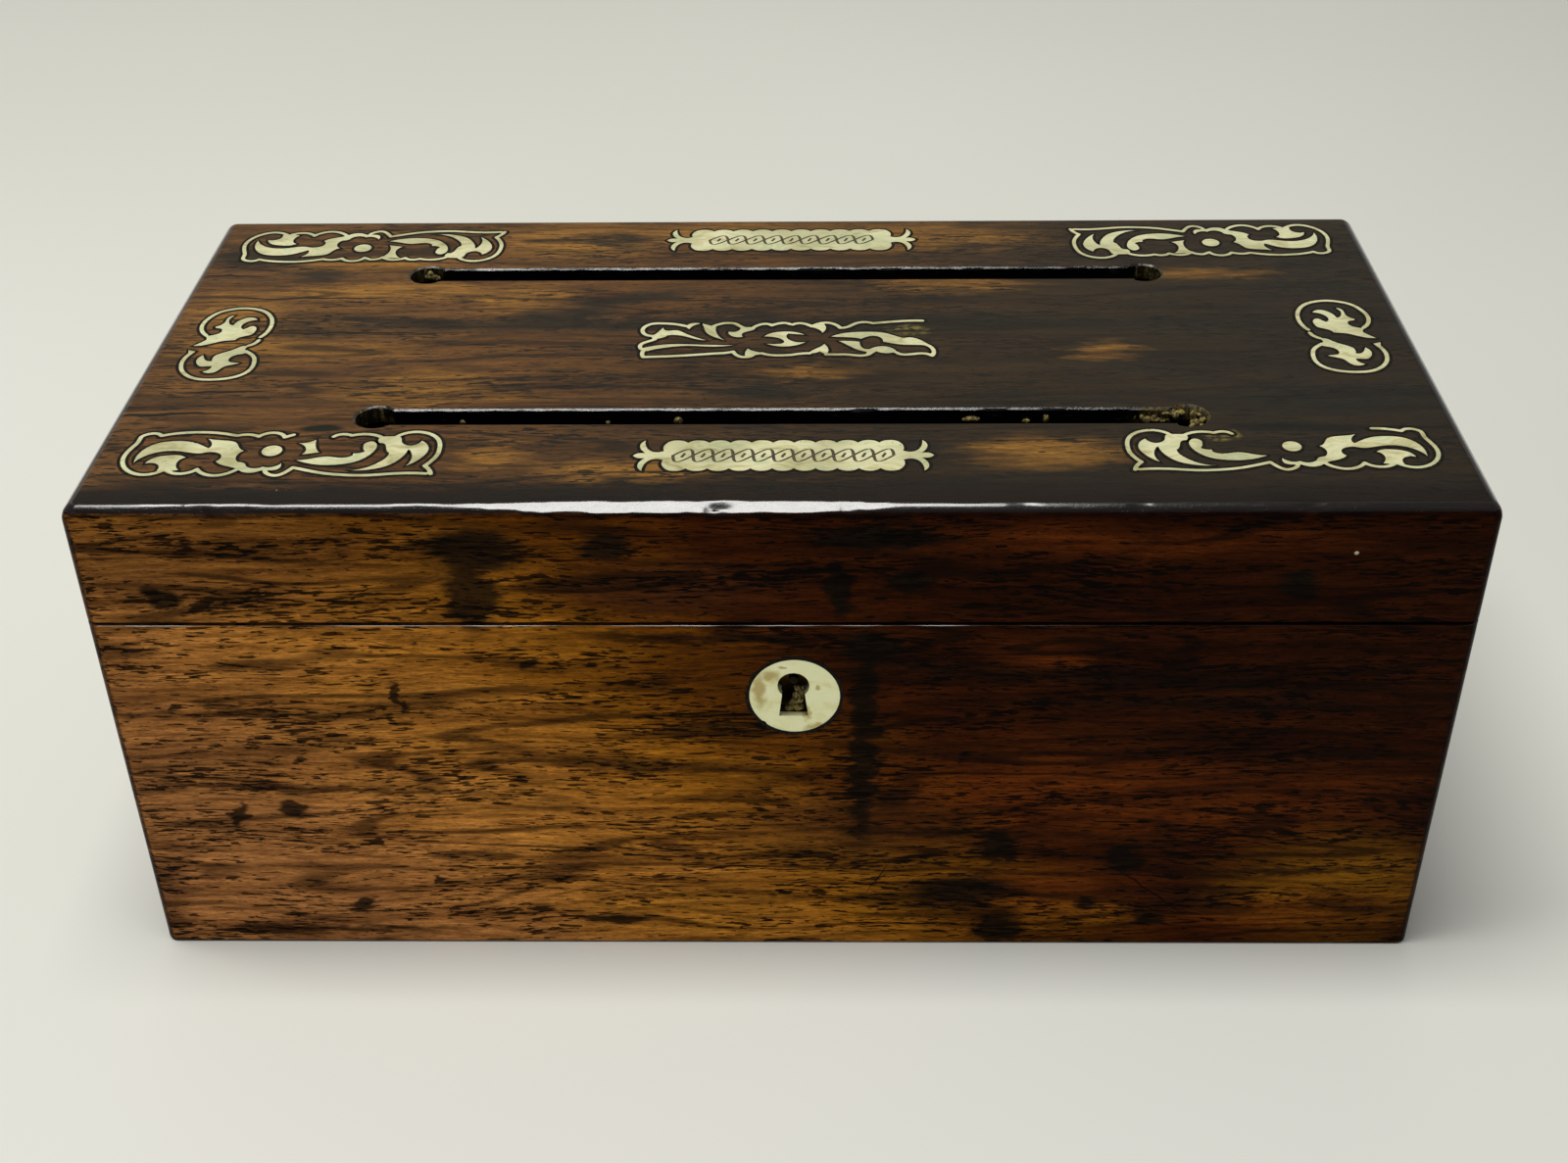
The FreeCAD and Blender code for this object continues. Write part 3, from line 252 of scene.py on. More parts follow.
# Rosewood veneer: saw-cut sheets over one millimetre thick, glued to the boards and French polished.
# Every side has its own sheet, figured in gold and dark red-brown, with black pores along the grain,
# and its worn arrises are shiny and painted dark: partly grime, partly painted shade on the rounded edges.
def polished(wood, ground, grain, pore_share, shine):
    """Lays figure, pores and polish over a ground colour, with the grain along the long length."""
    where = wood.place()
    across = [0 if length == 1 else 1 for length in grain]

    def drawn_out(run, width):
        """A size that is long along the grain and narrow across it."""
        return [run * MM * length + width * MM * side for length, side in zip(grain, across)]

    wander = wood.bent(where, (60 * MM, 26 * MM, 26 * MM), [6 * MM * side for side in across])
    growth = wood.noise(wander, drawn_out(150, 6), 2, 0.5)
    rings = wood.calc("SINE", wood.calc("MULTIPLY", growth, 80.0))
    ring_lines = wood.between(rings, 0.3, 1.0)
    band = wood.noise(wander, [length * 50 * MM for length in grain], 6, 0.68, 0.5)
    streak = wood.noise(wander, [length * 12 * MM for length in grain], 6, 0.72)
    fleck = wood.noise(where, [length * 1.6 * MM + 0.1 * MM for length in grain], 3, 0.75)
    shade = wood.ramp(band, [
        (0.32, (0.4, 0.36, 0.34, 1)), (0.48, (0.88, 0.86, 0.83, 1)), (0.66, (1.25, 1.26, 1.25, 1))])
    colour = wood.mix(1.0, ground, shade, "MULTIPLY")
    fine = wood.ramp(streak, [
        (0.34, (0.42, 0.39, 0.37, 1)), (0.5, (0.97, 0.96, 0.94, 1)), (0.68, (1.42, 1.42, 1.4, 1))])
    colour = wood.mix(1.0, colour, fine, "MULTIPLY")
    speckle = wood.ramp(fleck, [(0.3, (0.6, 0.58, 0.56, 1)), (0.7, (1.4, 1.4, 1.36, 1))])
    colour = wood.mix(1.0, colour, speckle, "MULTIPLY")
    patchy = wood.between(wood.noise(where, [length * 80 * MM for length in grain], 2), 0.35, 0.6, 0.15, 0.7)
    colour = wood.mix(wood.calc("MULTIPLY", ring_lines, patchy), colour, tint(18, 9, 4))
    dash = wood.noise(wander, drawn_out(3.4, 0.14), 2, 0.6)
    clumps = wood.noise(where, [length * 30 * MM + 4 * MM for length in grain], 2)
    edge = wood.between(clumps, 0.36, 0.64, pore_share + 0.08, pore_share - 0.04)
    pore = wood.between(wood.calc("SUBTRACT", dash, edge), 0, 0.03)
    colour = wood.mix(wood.calc("MULTIPLY", pore, 0.9), colour, tint(9, 5, 2))
    vessel = wood.noise(wander, drawn_out(5, 0.3), 1, 0.4)
    vessel = wood.between(wood.calc("SUBTRACT", vessel, wood.calc("ADD", edge, 0.05)), 0, 0.02)
    colour = wood.mix(wood.calc("MULTIPLY", vessel, 0.85), colour, tint(8, 5, 3))
    arris = wood.arris()
    rub = wood.noise(where, (5 * MM, 2 * MM, 2 * MM), 4, 0.7)
    # Rounded arrises are painted darker: partly grime, partly painted shade beside the edge highlights.
    grime_and_edge_shade = wood.calc("MULTIPLY", arris, wood.between(rub, 0.3, 0.6, 0.97, 0.7))
    colour = wood.mix(grime_and_edge_shade, colour, tint(16, 7, 5))
    relief = wood.calc("ADD", wood.calc("MULTIPLY", pore, -1), wood.calc("MULTIPLY", streak, 0.8))
    lift = wood.bump(relief, 0.07 * MM, 0.5)
    knocks = wood.bump(wood.calc("MULTIPLY", arris, rub), 0.25 * MM, 0.7, lift)
    rough = wood.between(streak, 0.3, 0.7, 0.34, 0.5)
    rough = wood.calc("SUBTRACT", rough, wood.calc("MULTIPLY", arris, 0.2))
    upward = wood.step("SeparateXYZ", {0: wood.step("TexCoord", {}, "Normal")}, 2)
    crown = wood.calc("MULTIPLY", wood.between(upward, 0.5, 0.8), wood.between(upward, 0.99, 0.95))
    wood.surface(Base_Color=colour, Roughness=rough, Normal=knocks, Coat_Roughness=0.14,
                 Specular_IOR_Level=shine, Coat_Weight=crown)
    return wood.material


def front_sheet(name):
    """The front's figure, which runs on over the lid and the base: gold at the lower left, darkening
    to red-brown at the right, with dark stains and drips."""
    wood = Finish(name)
    where = wood.place()
    wavering = wood.bent(where, (28 * MM, 12 * MM, 7 * MM), (34 * MM, 0, 10 * MM))
    slope = wood.step("VectorMath", {0: wavering, 1: (-10, 0, -9.5)}, "Value", operation="DOT_PRODUCT")
    warmth = wood.calc("ADD", slope, 0.33)
    ground = wood.ramp(wood.between(warmth, -1.2, 1.2), [
        (0.05, tint(52, 21, 3)), (0.25, tint(72, 31, 3)), (0.42, tint(112, 64, 8)),
        (0.55, tint(172, 110, 28)), (0.8, tint(198, 132, 56)), (1.0, tint(176, 118, 68))])
    golden = wood.spots(wavering, 1, [
        (14, 22, 20, 6, 0), (26, 11, 12, 5, 0), (104, 14, 18, 12, 0), (52, 8, 14, 4, 0),
        (-20, 8, 22, 7, 0)], 0.7)
    ground = wood.mix(wood.calc("MULTIPLY", golden, 0.5), ground, tint(168, 112, 24))
    glow = wood.spots(wavering, 1, [
        (52, 38, 30, 10, 0), (85, 36, 24, 8, 0), (96, 8, 20, 5, 0), (50, 12, 22, 6, 0), (44, 68, 8, 3, 0.2),
        (62, 92, 30, 3, 0)], 0.7)
    ground = wood.mix(wood.calc("MULTIPLY", glow, 0.45), ground, tint(128, 62, 16))
    browned = wood.spots(wavering, 1, [
        (-94, 89, 8, 6, 0), (-72, 90, 10, 5, 0), (-118, 12, 6, 12, 0), (-36, 21, 5, 3, 0), (-20, 24, 3, 3, 0),
        (-20, 84, 20, 5, 0), (-90, 91, 36, 9, 0), (-100, 84, 26, 6, 0), (8, 28, 20, 9, 0)], 0.6)
    ground = wood.mix(wood.calc("MULTIPLY", browned, 0.6), ground, tint(72, 40, 24))
    ragged = wood.bent(where, (4 * MM, 4 * MM, 1.6 * MM), (7 * MM, 0, 3.5 * MM))
    stains = wood.spots(ragged, 1, [
        (-52.5, 82, 4.6, 8, 0), (-51, 91, 8, 4.5, 0), (-29, 92, 4.5, 3, 0), (16, 93.5, 11, 2.4, 0),
        (10, 83, 2.2, 6, 0), (23, 85, 4, 2.2, 0), (14.8, 50, 2.5, 24, 0), (16, 71, 5, 3, 0),
        (40, 25, 3.2, 3.8, 0), (34, 14, 10, 3.8, 0), (41, 4, 5, 4.2, 0), (64, 22, 3.2, 4, 0),
        (57.5, 10.5, 2.8, 1.6, 0), (-100, 32.5, 1.4, 3, 0.4), (-90, 34, 2.8, 2, 0.5),
        (-97.7, 26.5, 0.8, 0.8, 0), (-80.5, 10, 2.6, 1.2, 0), (-32, 6.5, 7.5, 1.3, 0),
        (-65, 16.5, 1, 0.8, 0), (-67.5, 60, 1, 3.4, -0.3), (-44, 67.5, 1.6, 1.3, 0),
        (-106, 81.5, 3.4, 2.4, 0), (88, 84, 3.5, 3.2, 0), (70, 6.5, 3, 1, 0)])
    bands = wood.spots(ragged, 1, [
        (-24, 44.5, 26, 1.3, 0.06), (-85, 39, 34, 0.8, 0.04), (66, 64, 44, 1.7, 0.05),
        (78, 58.5, 40, 1.3, 0.02), (26, 67, 16, 2, 0.12), (100, 47, 18, 0.8, 0),
        (30, 28.5, 22, 1.1, 0.03), (-90, 56, 26, 0.8, 0),
        (-8, 73, 30, 1, 0), (95, 19, 24, 0.8, 0), (-84, 3.5, 18, 0.9, 0)], 0.8)
    ground = wood.mix(wood.calc("MULTIPLY", bands, 0.8), ground, tint(26, 15, 8))
    ground = wood.mix(wood.calc("MULTIPLY", stains, 0.9), ground, tint(20, 17, 10))
    scratch = wood.spots(wood.bent(where, (6 * MM, 6 * MM, 6 * MM), (1.4 * MM, 0, 1.4 * MM)), 1, [
        (69, 14, 9.4, 0.22, 0.7), (47, 58.5, 5, 0.14, 0.45), (-67, 71, 6, 0.1, 0.25),
        (18, 17, 4, 0.14, -1.1)])
    ground = wood.mix(wood.calc("MULTIPLY", scratch, 0.8), ground, tint(18, 8, 4))
    speck = wood.spots(where, 1, [(96.5, 90.5, 0.36, 0.36, 0)])
    ground = wood.mix(speck, ground, tint(236, 226, 200))
    return polished(wood, ground, along_x, 0.57, 0.02)


rosewood_front = front_sheet("rosewood_front")
dress(rosewood_front, "base_front_veneer", "lid_front_veneer", "base_rim_front", "lid_rim_front")


def plain_sheet(name, grain, dark, light):
    """A quieter sheet of the same wood for the back and the ends."""
    wood = Finish(name)
    where = wood.place()
    cloud = wood.noise(where, [length * 120 * MM for length in grain], 4, 0.6, 0.6)
    ground = wood.ramp(cloud, [(0.3, dark), (0.5, light), (0.7, dark)])
    return polished(wood, ground, grain, 0.6, 0.06)


back_sheet = plain_sheet("rosewood_back", along_x, tint(60, 28, 10), tint(130, 78, 34))
end_sheet = plain_sheet("rosewood_ends", along_y, tint(58, 26, 12), tint(112, 64, 30))
dress(back_sheet, "base_back_veneer", "lid_back_veneer", "base_rim_back", "lid_rim_back")
dress(end_sheet, "base_left_veneer", "base_right_veneer", "lid_left_veneer", "lid_right_veneer",
      "base_rim_left", "base_rim_right", "lid_rim_left", "lid_rim_right")


# Lid top: the best sheet, quieter and greyer than the front, with lighter orange patches and two dark
# stains. It is sawn through for the two letter slots and cut out for the inlay, and it has split along
# the grain at both ends.
def top_sheet(name):
    """The top's figure, dark towards the right and the front, with the patches, stains and splits.
    The band along the front edge is painted darker: partly dark worn wood, partly painted shade.
    """
    wood = Finish(name)
    where = wood.place()
    wavering = wood.bent(where, (40 * MM, 18 * MM, 18 * MM), (30 * MM, 12 * MM, 0))
    slope = wood.step("VectorMath", {0: wavering, 1: (-10, 6, 0)}, "Value", operation="DOT_PRODUCT")
    ground = wood.ramp(wood.between(slope, -1.4, 1.4), [
        (0.1, tint(34, 24, 12)), (0.4, tint(50, 33, 15)), (0.7, tint(82, 52, 22)), (1.0, tint(96, 64, 30))])
    ragged = wood.bent(where, (9 * MM, 2.2 * MM, 2.2 * MM), (20 * MM, 5 * MM, 0))
    pale = wood.spots(ragged, 2, [
        (-65, -17.5, 15, 4.4, 0), (-68, -14, 9, 3, 0.2), (-52, 19, 8, 5, 0.3), (-80, 23, 20, 3.5, 0),
        (-44, 46, 14, 8, 0), (-10, 50, 22, 5, 0), (24, 48, 24, 6, 0), (-50, -40.5, 4.5, 4.5, 0),
        (46, -40, 13, 4.5, 0),
        (-26, -46, 12, 3, 0), (33, 25, 13, 3, 0), (4, -12, 9, 2.4, 0.1), (60, -3, 5, 3, 0.2),
        (-90, -2, 18, 3, 0), (-86, 36, 14, 3, 0), (82, 30, 12, 2, 0), (-106, 8, 8, 12, 0)], 0.7)
    ground = wood.mix(wood.calc("MULTIPLY", pale, 0.7), ground, tint(140, 98, 38))
    stains = wood.spots(ragged, 2, [
        (-43, 12, 13, 4, 0.35), (-30, 19, 12, 2.5, 0.3), (-108, 38, 10, 5, 0), (-6, -18, 8, 2.5, 0),
        (100, -22, 24, 5, 0), (-34, 46, 5, 4, 0), (-94, 30, 6, 3, 0), (20, -40, 10, 4, 0),
        (0, 8, 90, 3, 0)], 0.7)
    ground = wood.mix(wood.calc("MULTIPLY", stains, 0.85), ground, tint(22, 20, 15))
    # The band along the front edge is painted darker: partly dark worn wood, partly painted shade where the
    # rubbed-down edge turns from the light.
    front_edge = wood.step("SeparateXYZ", {0: ragged}, 1)
    ground = wood.mix(wood.between(front_edge, -47 * MM, -53 * MM), ground, tint(20, 8, 4))
    splits = wood.spots(wood.bent(where, (8 * MM, 8 * MM, 8 * MM), (0, 2.4 * MM, 0)), 2, [
        (-113, -26.5, 12, 0.5, 0.05), (101, -31.8, 22, 0.5, 0), (92, -21, 12, 0.3, 0), (-96, 20, 20, 0.3, 0),
        (-86, 4.8, 26, 0.3, 0), (-102, -18, 9, 0.4, 0), (-112, 30, 8, 0.3, 0), (-110, -8, 8, 0.3, 0),
        (91, -31.9, 12, 1.5, 0), (-81, -31.6, 4, 1.2, 0)])
    ground = wood.mix(splits, ground, tint(8, 5, 3))
    glue = wood.spots(wood.bent(where, (3 * MM, 3 * MM, 3 * MM), (3 * MM, 3 * MM, 0)), 2, [
        (24, 5.5, 4, 2.4, 0), (77, -34.5, 3, 2, 0)], 0.3)
    glue_colour = wood.ramp(wood.noise(where, (1.2 * MM, 1.2 * MM, 1.2 * MM), 4), [
        (0.35, tint(30, 26, 12)), (0.6, tint(104, 92, 44))])
    ground = wood.mix(glue, ground, glue_colour)
    upright = wood.step("SeparateXYZ", {0: wood.step("TexCoord", {}, "Normal")}, 2)
    beside_slot = wood.spots(where, 2, [(0, -27.4, 79, 7, 0), (0, 30.4, 79, 7, 0)], 0.02)
    sawn = wood.calc("MULTIPLY", wood.between(upright, 0.7, 0.4), beside_slot)
    ground = wood.mix(sawn, ground, tint(2, 2, 2))
    return polished(wood, ground, along_x, 0.59, 0.14)


rosewood_top = top_sheet("rosewood_top")
dress(rosewood_top, "lid_top_veneer")


def picked_up(node, name):
    """A piece that starts as the frame's own shape, with its loose triangles joined up."""
    bpy.ops.object.select_all(action="DESELECT")
    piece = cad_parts[node].copy()
    piece.data = piece.data.copy()
    piece.name = name
    piece.parent = None
    piece.hide_render = False
    piece.hide_viewport = False
    for label in [key for key in piece.keys() if key.startswith("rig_")]:
        del piece[label]
    bpy.context.scene.collection.objects.link(piece)
    bpy.context.view_layer.objects.active = piece
    piece.select_set(True)
    bpy.ops.object.mode_set(mode="EDIT")
    bpy.ops.mesh.select_all(action="SELECT")
    bpy.ops.mesh.remove_doubles(threshold=0.002 * MM)
    bpy.ops.object.mode_set(mode="OBJECT")
    return piece


def finished(piece, material, body):
    """Lays the finish on a piece and fixes it to the part that it moves with."""
    piece.data.materials.clear()
    piece.data.materials.append(material)
    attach(piece, body)


# Worn front arris of the lid: a century of hands and knocks has rubbed down the rounded edge where the
# top and front veneers meet. It is flattest in the middle, and the top dips towards it. It is nicked all
# along, and mostly at the left.
def scored(piece, first_cuts, reach, fine_cuts):
    """Cuts a piece along the first planes, and the part of it that reach picks along the fine ones."""
    bpy.ops.object.mode_set(mode="EDIT")
    for place, square_to in first_cuts:
        bpy.ops.mesh.select_all(action="SELECT")
        bpy.ops.mesh.bisect(plane_co=place, plane_no=square_to)
    shape = bmesh.from_edit_mesh(piece.data)
    for face in shape.faces:
        face.select_set(reach(face.calc_center_median()))
    bmesh.update_edit_mesh(piece.data)
    bpy.ops.mesh.hide(unselected=True)
    for place, square_to in fine_cuts:
        bpy.ops.mesh.select_all(action="SELECT")
        bpy.ops.mesh.bisect(plane_co=place, plane_no=square_to)
    bpy.ops.mesh.reveal(select=False)
    bpy.ops.mesh.select_all(action="DESELECT")
    bpy.ops.mesh.customdata_custom_splitnormals_clear()
    bpy.ops.object.mode_set(mode="OBJECT")


edge_crest = (-57.1 * MM, 98.6 * MM)
unworn_top = 99.5
dip_start = -52
slope_start = -55.5
slope_fall = 0.52
knock_places = [-104, -101, -98.5, -96, -93, -90.5, -88, -62, -58.5, -30, -10, -8, 12, 41, 60, 88]
knock_depths = [0.5, 0.7, 0.45, 0.8, 0.5, 0.65, 0.4, 0.75, 0.6, 0.3, 0.9, 0.5, 0.3, 0.4, 0.3, 0.45]
wear_dice = random.Random(7)
wave_sizes = [(wear_dice.uniform(0.15, 1.4), wear_dice.uniform(0, 6), wear_dice.uniform(0.02, 0.05))
              for wave in range(9)]


def rub_down(point):
    """Moves a point of the edge in towards the box by the wear at its place along the front: the dip of
    the top, the slope rubbed on the arris, which narrows towards both ends, and the knocks."""
    away = math.hypot(point.y - edge_crest[0], point.z - edge_crest[1]) / MM
    along = point.x / MM
    waves = sum(size * math.sin(pitch * along + start) for pitch, start, size in wave_sizes)
    knocks = sum(knock * math.exp(-((along - place) / 0.8) ** 2)
                 for place, knock in zip(knock_places, knock_depths))
    inward = 0.55 * knocks * math.exp(-(away / 1.5) ** 2) * MM
    past_dip = max(0, dip_start - point.y / MM)
    worn_level = (unworn_top - 0.02 * past_dip ** 1.5 + 0.35 * waves) * MM
    spared = max(0, min(1, (-38 - along) / 55)) + 0.7 * max(0, min(1, (along - 8) / 40))
    ripple = 0.05 * math.sin(2.9 * along + 2 * math.sin(0.7 * along))
    crest_level = (99.3 + 0.3 * waves + 1.25 * spared + ripple) * MM
    rubbed_slope = crest_level - slope_fall * (slope_start * MM - point.y)
    if past_dip > 0:
        point.z = min(point.z, worn_level, rubbed_slope)
    point.y += inward
    point.z -= inward


top_wear_limit = -49
front_wear_limit = 94.5
across_steps = [(((1.5 * step - 118.5) * MM, 0, 0), (1, 0, 0)) for step in range(159)]
for node, sheet, reach, first_cuts in (
        ("lid_top_veneer", rosewood_top, lambda place: place.y < top_wear_limit * MM,
         [((0, y * MM, 0), (0, 1, 0)) for y in (top_wear_limit, -50.5, -52, -53.5, -55, -56, -56.7)]),
        ("lid_front_veneer", rosewood_front, lambda place: place.z > front_wear_limit * MM,
         [((0, 0, z * MM), (0, 0, 1)) for z in (front_wear_limit, 95.5, 96.5, 97.2, 97.8)])):
    veneer = picked_up(node, node + "_worn")
    scored(veneer, first_cuts, reach, across_steps)
    for point in veneer.data.vertices:
        if reach(point.co) or abs(point.co.z - front_wear_limit * MM) < 0.02 * MM:
            rub_down(point.co)
    bpy.ops.object.shade_smooth_by_angle(angle=math.radians(32))
    finished(veneer, sheet, "lid")
    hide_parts(node)


# Facings where the lid meets the base: strips of rosewood along the meeting faces. Their outer arrises
# are rubbed down at the front and the ends, which shows as a dark line with a thin shine under it. Near
# the hinges they are left square.
rim_dice = random.Random(11)
ease = 0.55 * MM
hinge_room = 50 * MM
for node, outward, sheet, body in (
        ("base_rim_front", (0, -1, 0), rosewood_front, "base"),
        ("base_rim_left", (-1, 0, 0), end_sheet, "base"), ("base_rim_right", (1, 0, 0), end_sheet, "base"),
        ("lid_rim_front", (0, -1, 0), rosewood_front, "lid"),
        ("lid_rim_left", (-1, 0, 0), end_sheet, "lid"), ("lid_rim_right", (1, 0, 0), end_sheet, "lid")):
    facing = picked_up(node, node + "_eased")
    meeting_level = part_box(node)[1 if body == "base" else 0][2]
    bpy.ops.object.mode_set(mode="EDIT")
    bpy.ops.mesh.customdata_custom_splitnormals_clear()
    bpy.ops.mesh.dissolve_limited(angle_limit=math.radians(1))
    run = (1, 0, 0) if outward[0] == 0 else (0, 1, 0)
    for step in range(-39, 40):
        bpy.ops.mesh.select_all(action="SELECT")
        bpy.ops.mesh.bisect(plane_co=[3 * step * MM * side for side in run], plane_no=run)
    shape = bmesh.from_edit_mesh(facing.data)
    bpy.ops.mesh.select_all(action="DESELECT")
    bpy.ops.mesh.select_mode(type="EDGE")
    for edge in shape.edges:
        at_meeting = all(abs(corner.co.z - meeting_level) < 0.02 * MM for corner in edge.verts)
        faces_out = any(face.normal.dot(Vector(outward)) > 0.69 for face in edge.link_faces)
        clear_of_hinges = all(corner.co.y < hinge_room for corner in edge.verts)
        edge.select_set(at_meeting and faces_out and clear_of_hinges)
    bmesh.update_edit_mesh(facing.data)
    bpy.ops.mesh.bevel(offset=ease, segments=1)
    bpy.ops.object.mode_set(mode="OBJECT")
    for point in facing.data.vertices:
        depth = point.co.z - meeting_level
        if abs(abs(depth) - ease) < 0.2 * MM and point.co.y < hinge_room + 0.5 * MM:
            point.co.z = meeting_level + depth * rim_dice.uniform(0.46, 0.62)
    bpy.ops.object.shade_smooth_by_angle(angle=math.radians(20))
    finished(facing, sheet, body)
    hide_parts(node)


# Slot edges: a black spirit varnish laid thick over the sawn walls of the two letter slots. Its far
# arris is rubbed to a shine, and the wood has broken up in some of the round ends.
slot_black = Finish("slot_varnish")
slot_place = slot_black.place()
slot_rub = slot_black.noise(slot_place, (3 * MM, 0.7 * MM, 0.7 * MM), 4, 0.65)
slot_colour = slot_black.ramp(slot_rub, [
    (0.56, tint(7, 7, 8)), (0.68, tint(26, 22, 14)), (0.8, tint(96, 76, 46))])
broken = slot_black.spots(slot_black.bent(slot_place, (2 * MM, 2 * MM, 2 * MM), (3 * MM, 3 * MM, 0)), 2, [
    (71, -26, 7.5, 4.5, 0), (-72.5, -27.5, 3, 4, 0), (-72.5, 30.4, 3.4, 4, 0), (73, 30.4, 3, 4, 0)], 0.3)
splinters = slot_black.noise(slot_place, (0.7 * MM, 0.7 * MM, 1.4 * MM), 4, 0.7)
splinter_colour = slot_black.ramp(splinters, [
    (0.38, tint(16, 12, 7)), (0.52, tint(60, 48, 20)), (0.6, tint(112, 98, 40)), (0.72, tint(96, 70, 44))])
slot_colour = slot_black.mix(broken, slot_colour, splinter_colour)
slot_lift = slot_black.bump(slot_rub, 0.25 * MM, 0.5)
slot_black.surface(Base_Color=slot_colour, Roughness=slot_black.between(broken, 0, 1, 0.16, 0.6),
                   Normal=slot_lift, Specular_IOR_Level=0.5)

slot_dice = random.Random(3)
hole_x = 72.1
hole_radius = 4.1
half_slot = 2.9
for name, middle_y in (("front_slot_varnish", -27.4), ("back_slot_varnish", 30.4)):
    wall = picked_up("lid_top_veneer", name)
    bpy.ops.object.mode_set(mode="EDIT")
    shape = bmesh.from_edit_mesh(wall.data)
    for face in shape.faces:
        middle = face.calc_center_median() / MM
        off = abs(middle.y - middle_y)
        in_hole = math.hypot(abs(middle.x) - hole_x, off) < hole_radius + 0.05
        in_slot = off < half_slot + 0.05 and abs(middle.x) < 71
        face.select_set(not ((in_hole or in_slot) and abs(face.normal.z) < 0.3))
    bpy.ops.mesh.delete(type="FACE")
    fine = [62 + 0.8 * step for step in range(18)] + [-77 + 0.8 * step for step in range(12)]
    for x in fine + [-68 + 2.1 * step for step in range(62)]:
        bpy.ops.mesh.select_all(action="SELECT")
        bpy.ops.mesh.bisect(plane_co=(x * MM, 0, 0), plane_no=(1, 0, 0))
    bpy.ops.mesh.customdata_custom_splitnormals_clear()
    bpy.ops.object.mode_set(mode="OBJECT")
    for point in wall.data.vertices:
        if point.co.z < 98.9 * MM:
            point.co.z = 96.4 * MM
    coat = wall.modifiers.new("coat", "SOLIDIFY")
    coat.thickness = 0.42 * MM
    coat.offset = 1
    bpy.ops.object.modifier_apply(modifier="coat")
    for point in wall.data.vertices:
        away_y = abs(point.co.y / MM - middle_y)
        away_hole = math.hypot(abs(point.co.x / MM) - hole_x, away_y)
        on_lip = away_y < half_slot - 0.15 if abs(point.co.x) < 70 * MM else away_hole < hole_radius - 0.2
        crumbly = 1.6 if point.co.x > 62 * MM and middle_y < 0 else 1
        if point.co.z > 99 * MM:
            point.co.z -= slot_dice.uniform(0.2, 0.32) * MM * crumbly if on_lip else 0.02 * MM
        if on_lip:
            point.co.y += slot_dice.uniform(-0.06, 0.06) * MM * crumbly
    bpy.ops.object.shade_smooth_by_angle(angle=math.radians(50))
    finished(wall, slot_black.material, "lid")


# Inlay: thin mother-of-pearl, fret-cut and let into the lid's veneer. Each piece stands a hair proud
# of the wood and is bedded in dark mastic, which shows as a fine black line all round it.
def spread(piece, width):
    """Moves a piece's outline out by the width, or in if it is below nought, with no long spikes."""
    outline = [point.co.copy() for point in piece.data.vertices]
    bpy.ops.object.mode_set(mode="EDIT")
    bpy.ops.mesh.select_all(action="SELECT")
    bpy.ops.transform.shrink_fatten(value=width, use_even_offset=True)
    bpy.ops.object.mode_set(mode="OBJECT")
    for point, before in zip(piece.data.vertices, outline):
        shift = point.co - before
        point.co = before + shift * min(1, 1.5 * abs(width) / max(shift.length, 0.01 * MM))


def set_levels(piece, floor_level, top_level):
    """Puts the piece's lower points on one level and its upper points on another."""
    heights = [point.co.z for point in piece.data.vertices]
    middle = (min(heights) + max(heights)) / 2
    for point in piece.data.vertices:
        point.co.z = top_level if point.co.z > middle else floor_level


def mother_of_pearl(name):
    """Shell with a soft cloudy lustre, duller and yellower in some pieces, with dark flaws here and there."""
    shell = Finish(name)
    where = shell.place()
    moved = shell.bent(where, (8 * MM, 8 * MM, 8 * MM), (6 * MM, 6 * MM, 0))
    lustre = shell.noise(moved, (9 * MM, 4 * MM, 4 * MM), 4, 0.6, 1.2)
    colour = shell.ramp(lustre, [
        (0.28, tint(150, 146, 100)), (0.42, tint(190, 184, 138)), (0.52, tint(208, 204, 166)),
        (0.62, tint(180, 186, 142)), (0.76, tint(220, 216, 188))])
    pieces = shell.noise(where, (11 * MM, 11 * MM, 11 * MM), 0)
    tone = shell.ramp(pieces, [(0.4, (0.74, 0.74, 0.66, 1)), (0.6, (1, 1, 0.97, 1))])
    colour = shell.mix(1.0, colour, tone, "MULTIPLY")
    flaws = shell.noise(where, (0.9 * MM, 0.7 * MM, 0.9 * MM), 2, 0.6)
    colour = shell.mix(shell.between(flaws, 0.71, 0.75, 0, 0.8), colour, tint(60, 52, 30))
    scratch = shell.noise(where, (2 * MM, 0.3 * MM, 1 * MM), 3)
    lift = shell.bump(scratch, 0.02 * MM, 0.4)
    return shell.surface(Base_Color=colour, Roughness=0.32, Coat_Weight=0.3, Coat_Roughness=0.15, Normal=lift)


mastic = Finish("mastic")
mastic_grain = mastic.noise(mastic.place(), (0.8 * MM, 0.8 * MM, 0.8 * MM), 3)
mastic_colour = mastic.ramp(mastic_grain, [(0.4, tint(7, 5, 4)), (0.7, tint(34, 26, 18))])
mastic.surface(Base_Color=mastic_colour, Roughness=0.6, Specular_IOR_Level=0.1,
               Normal=mastic.bump(mastic_grain, 0.05 * MM, 0.5))
pearl = mother_of_pearl("pearl")

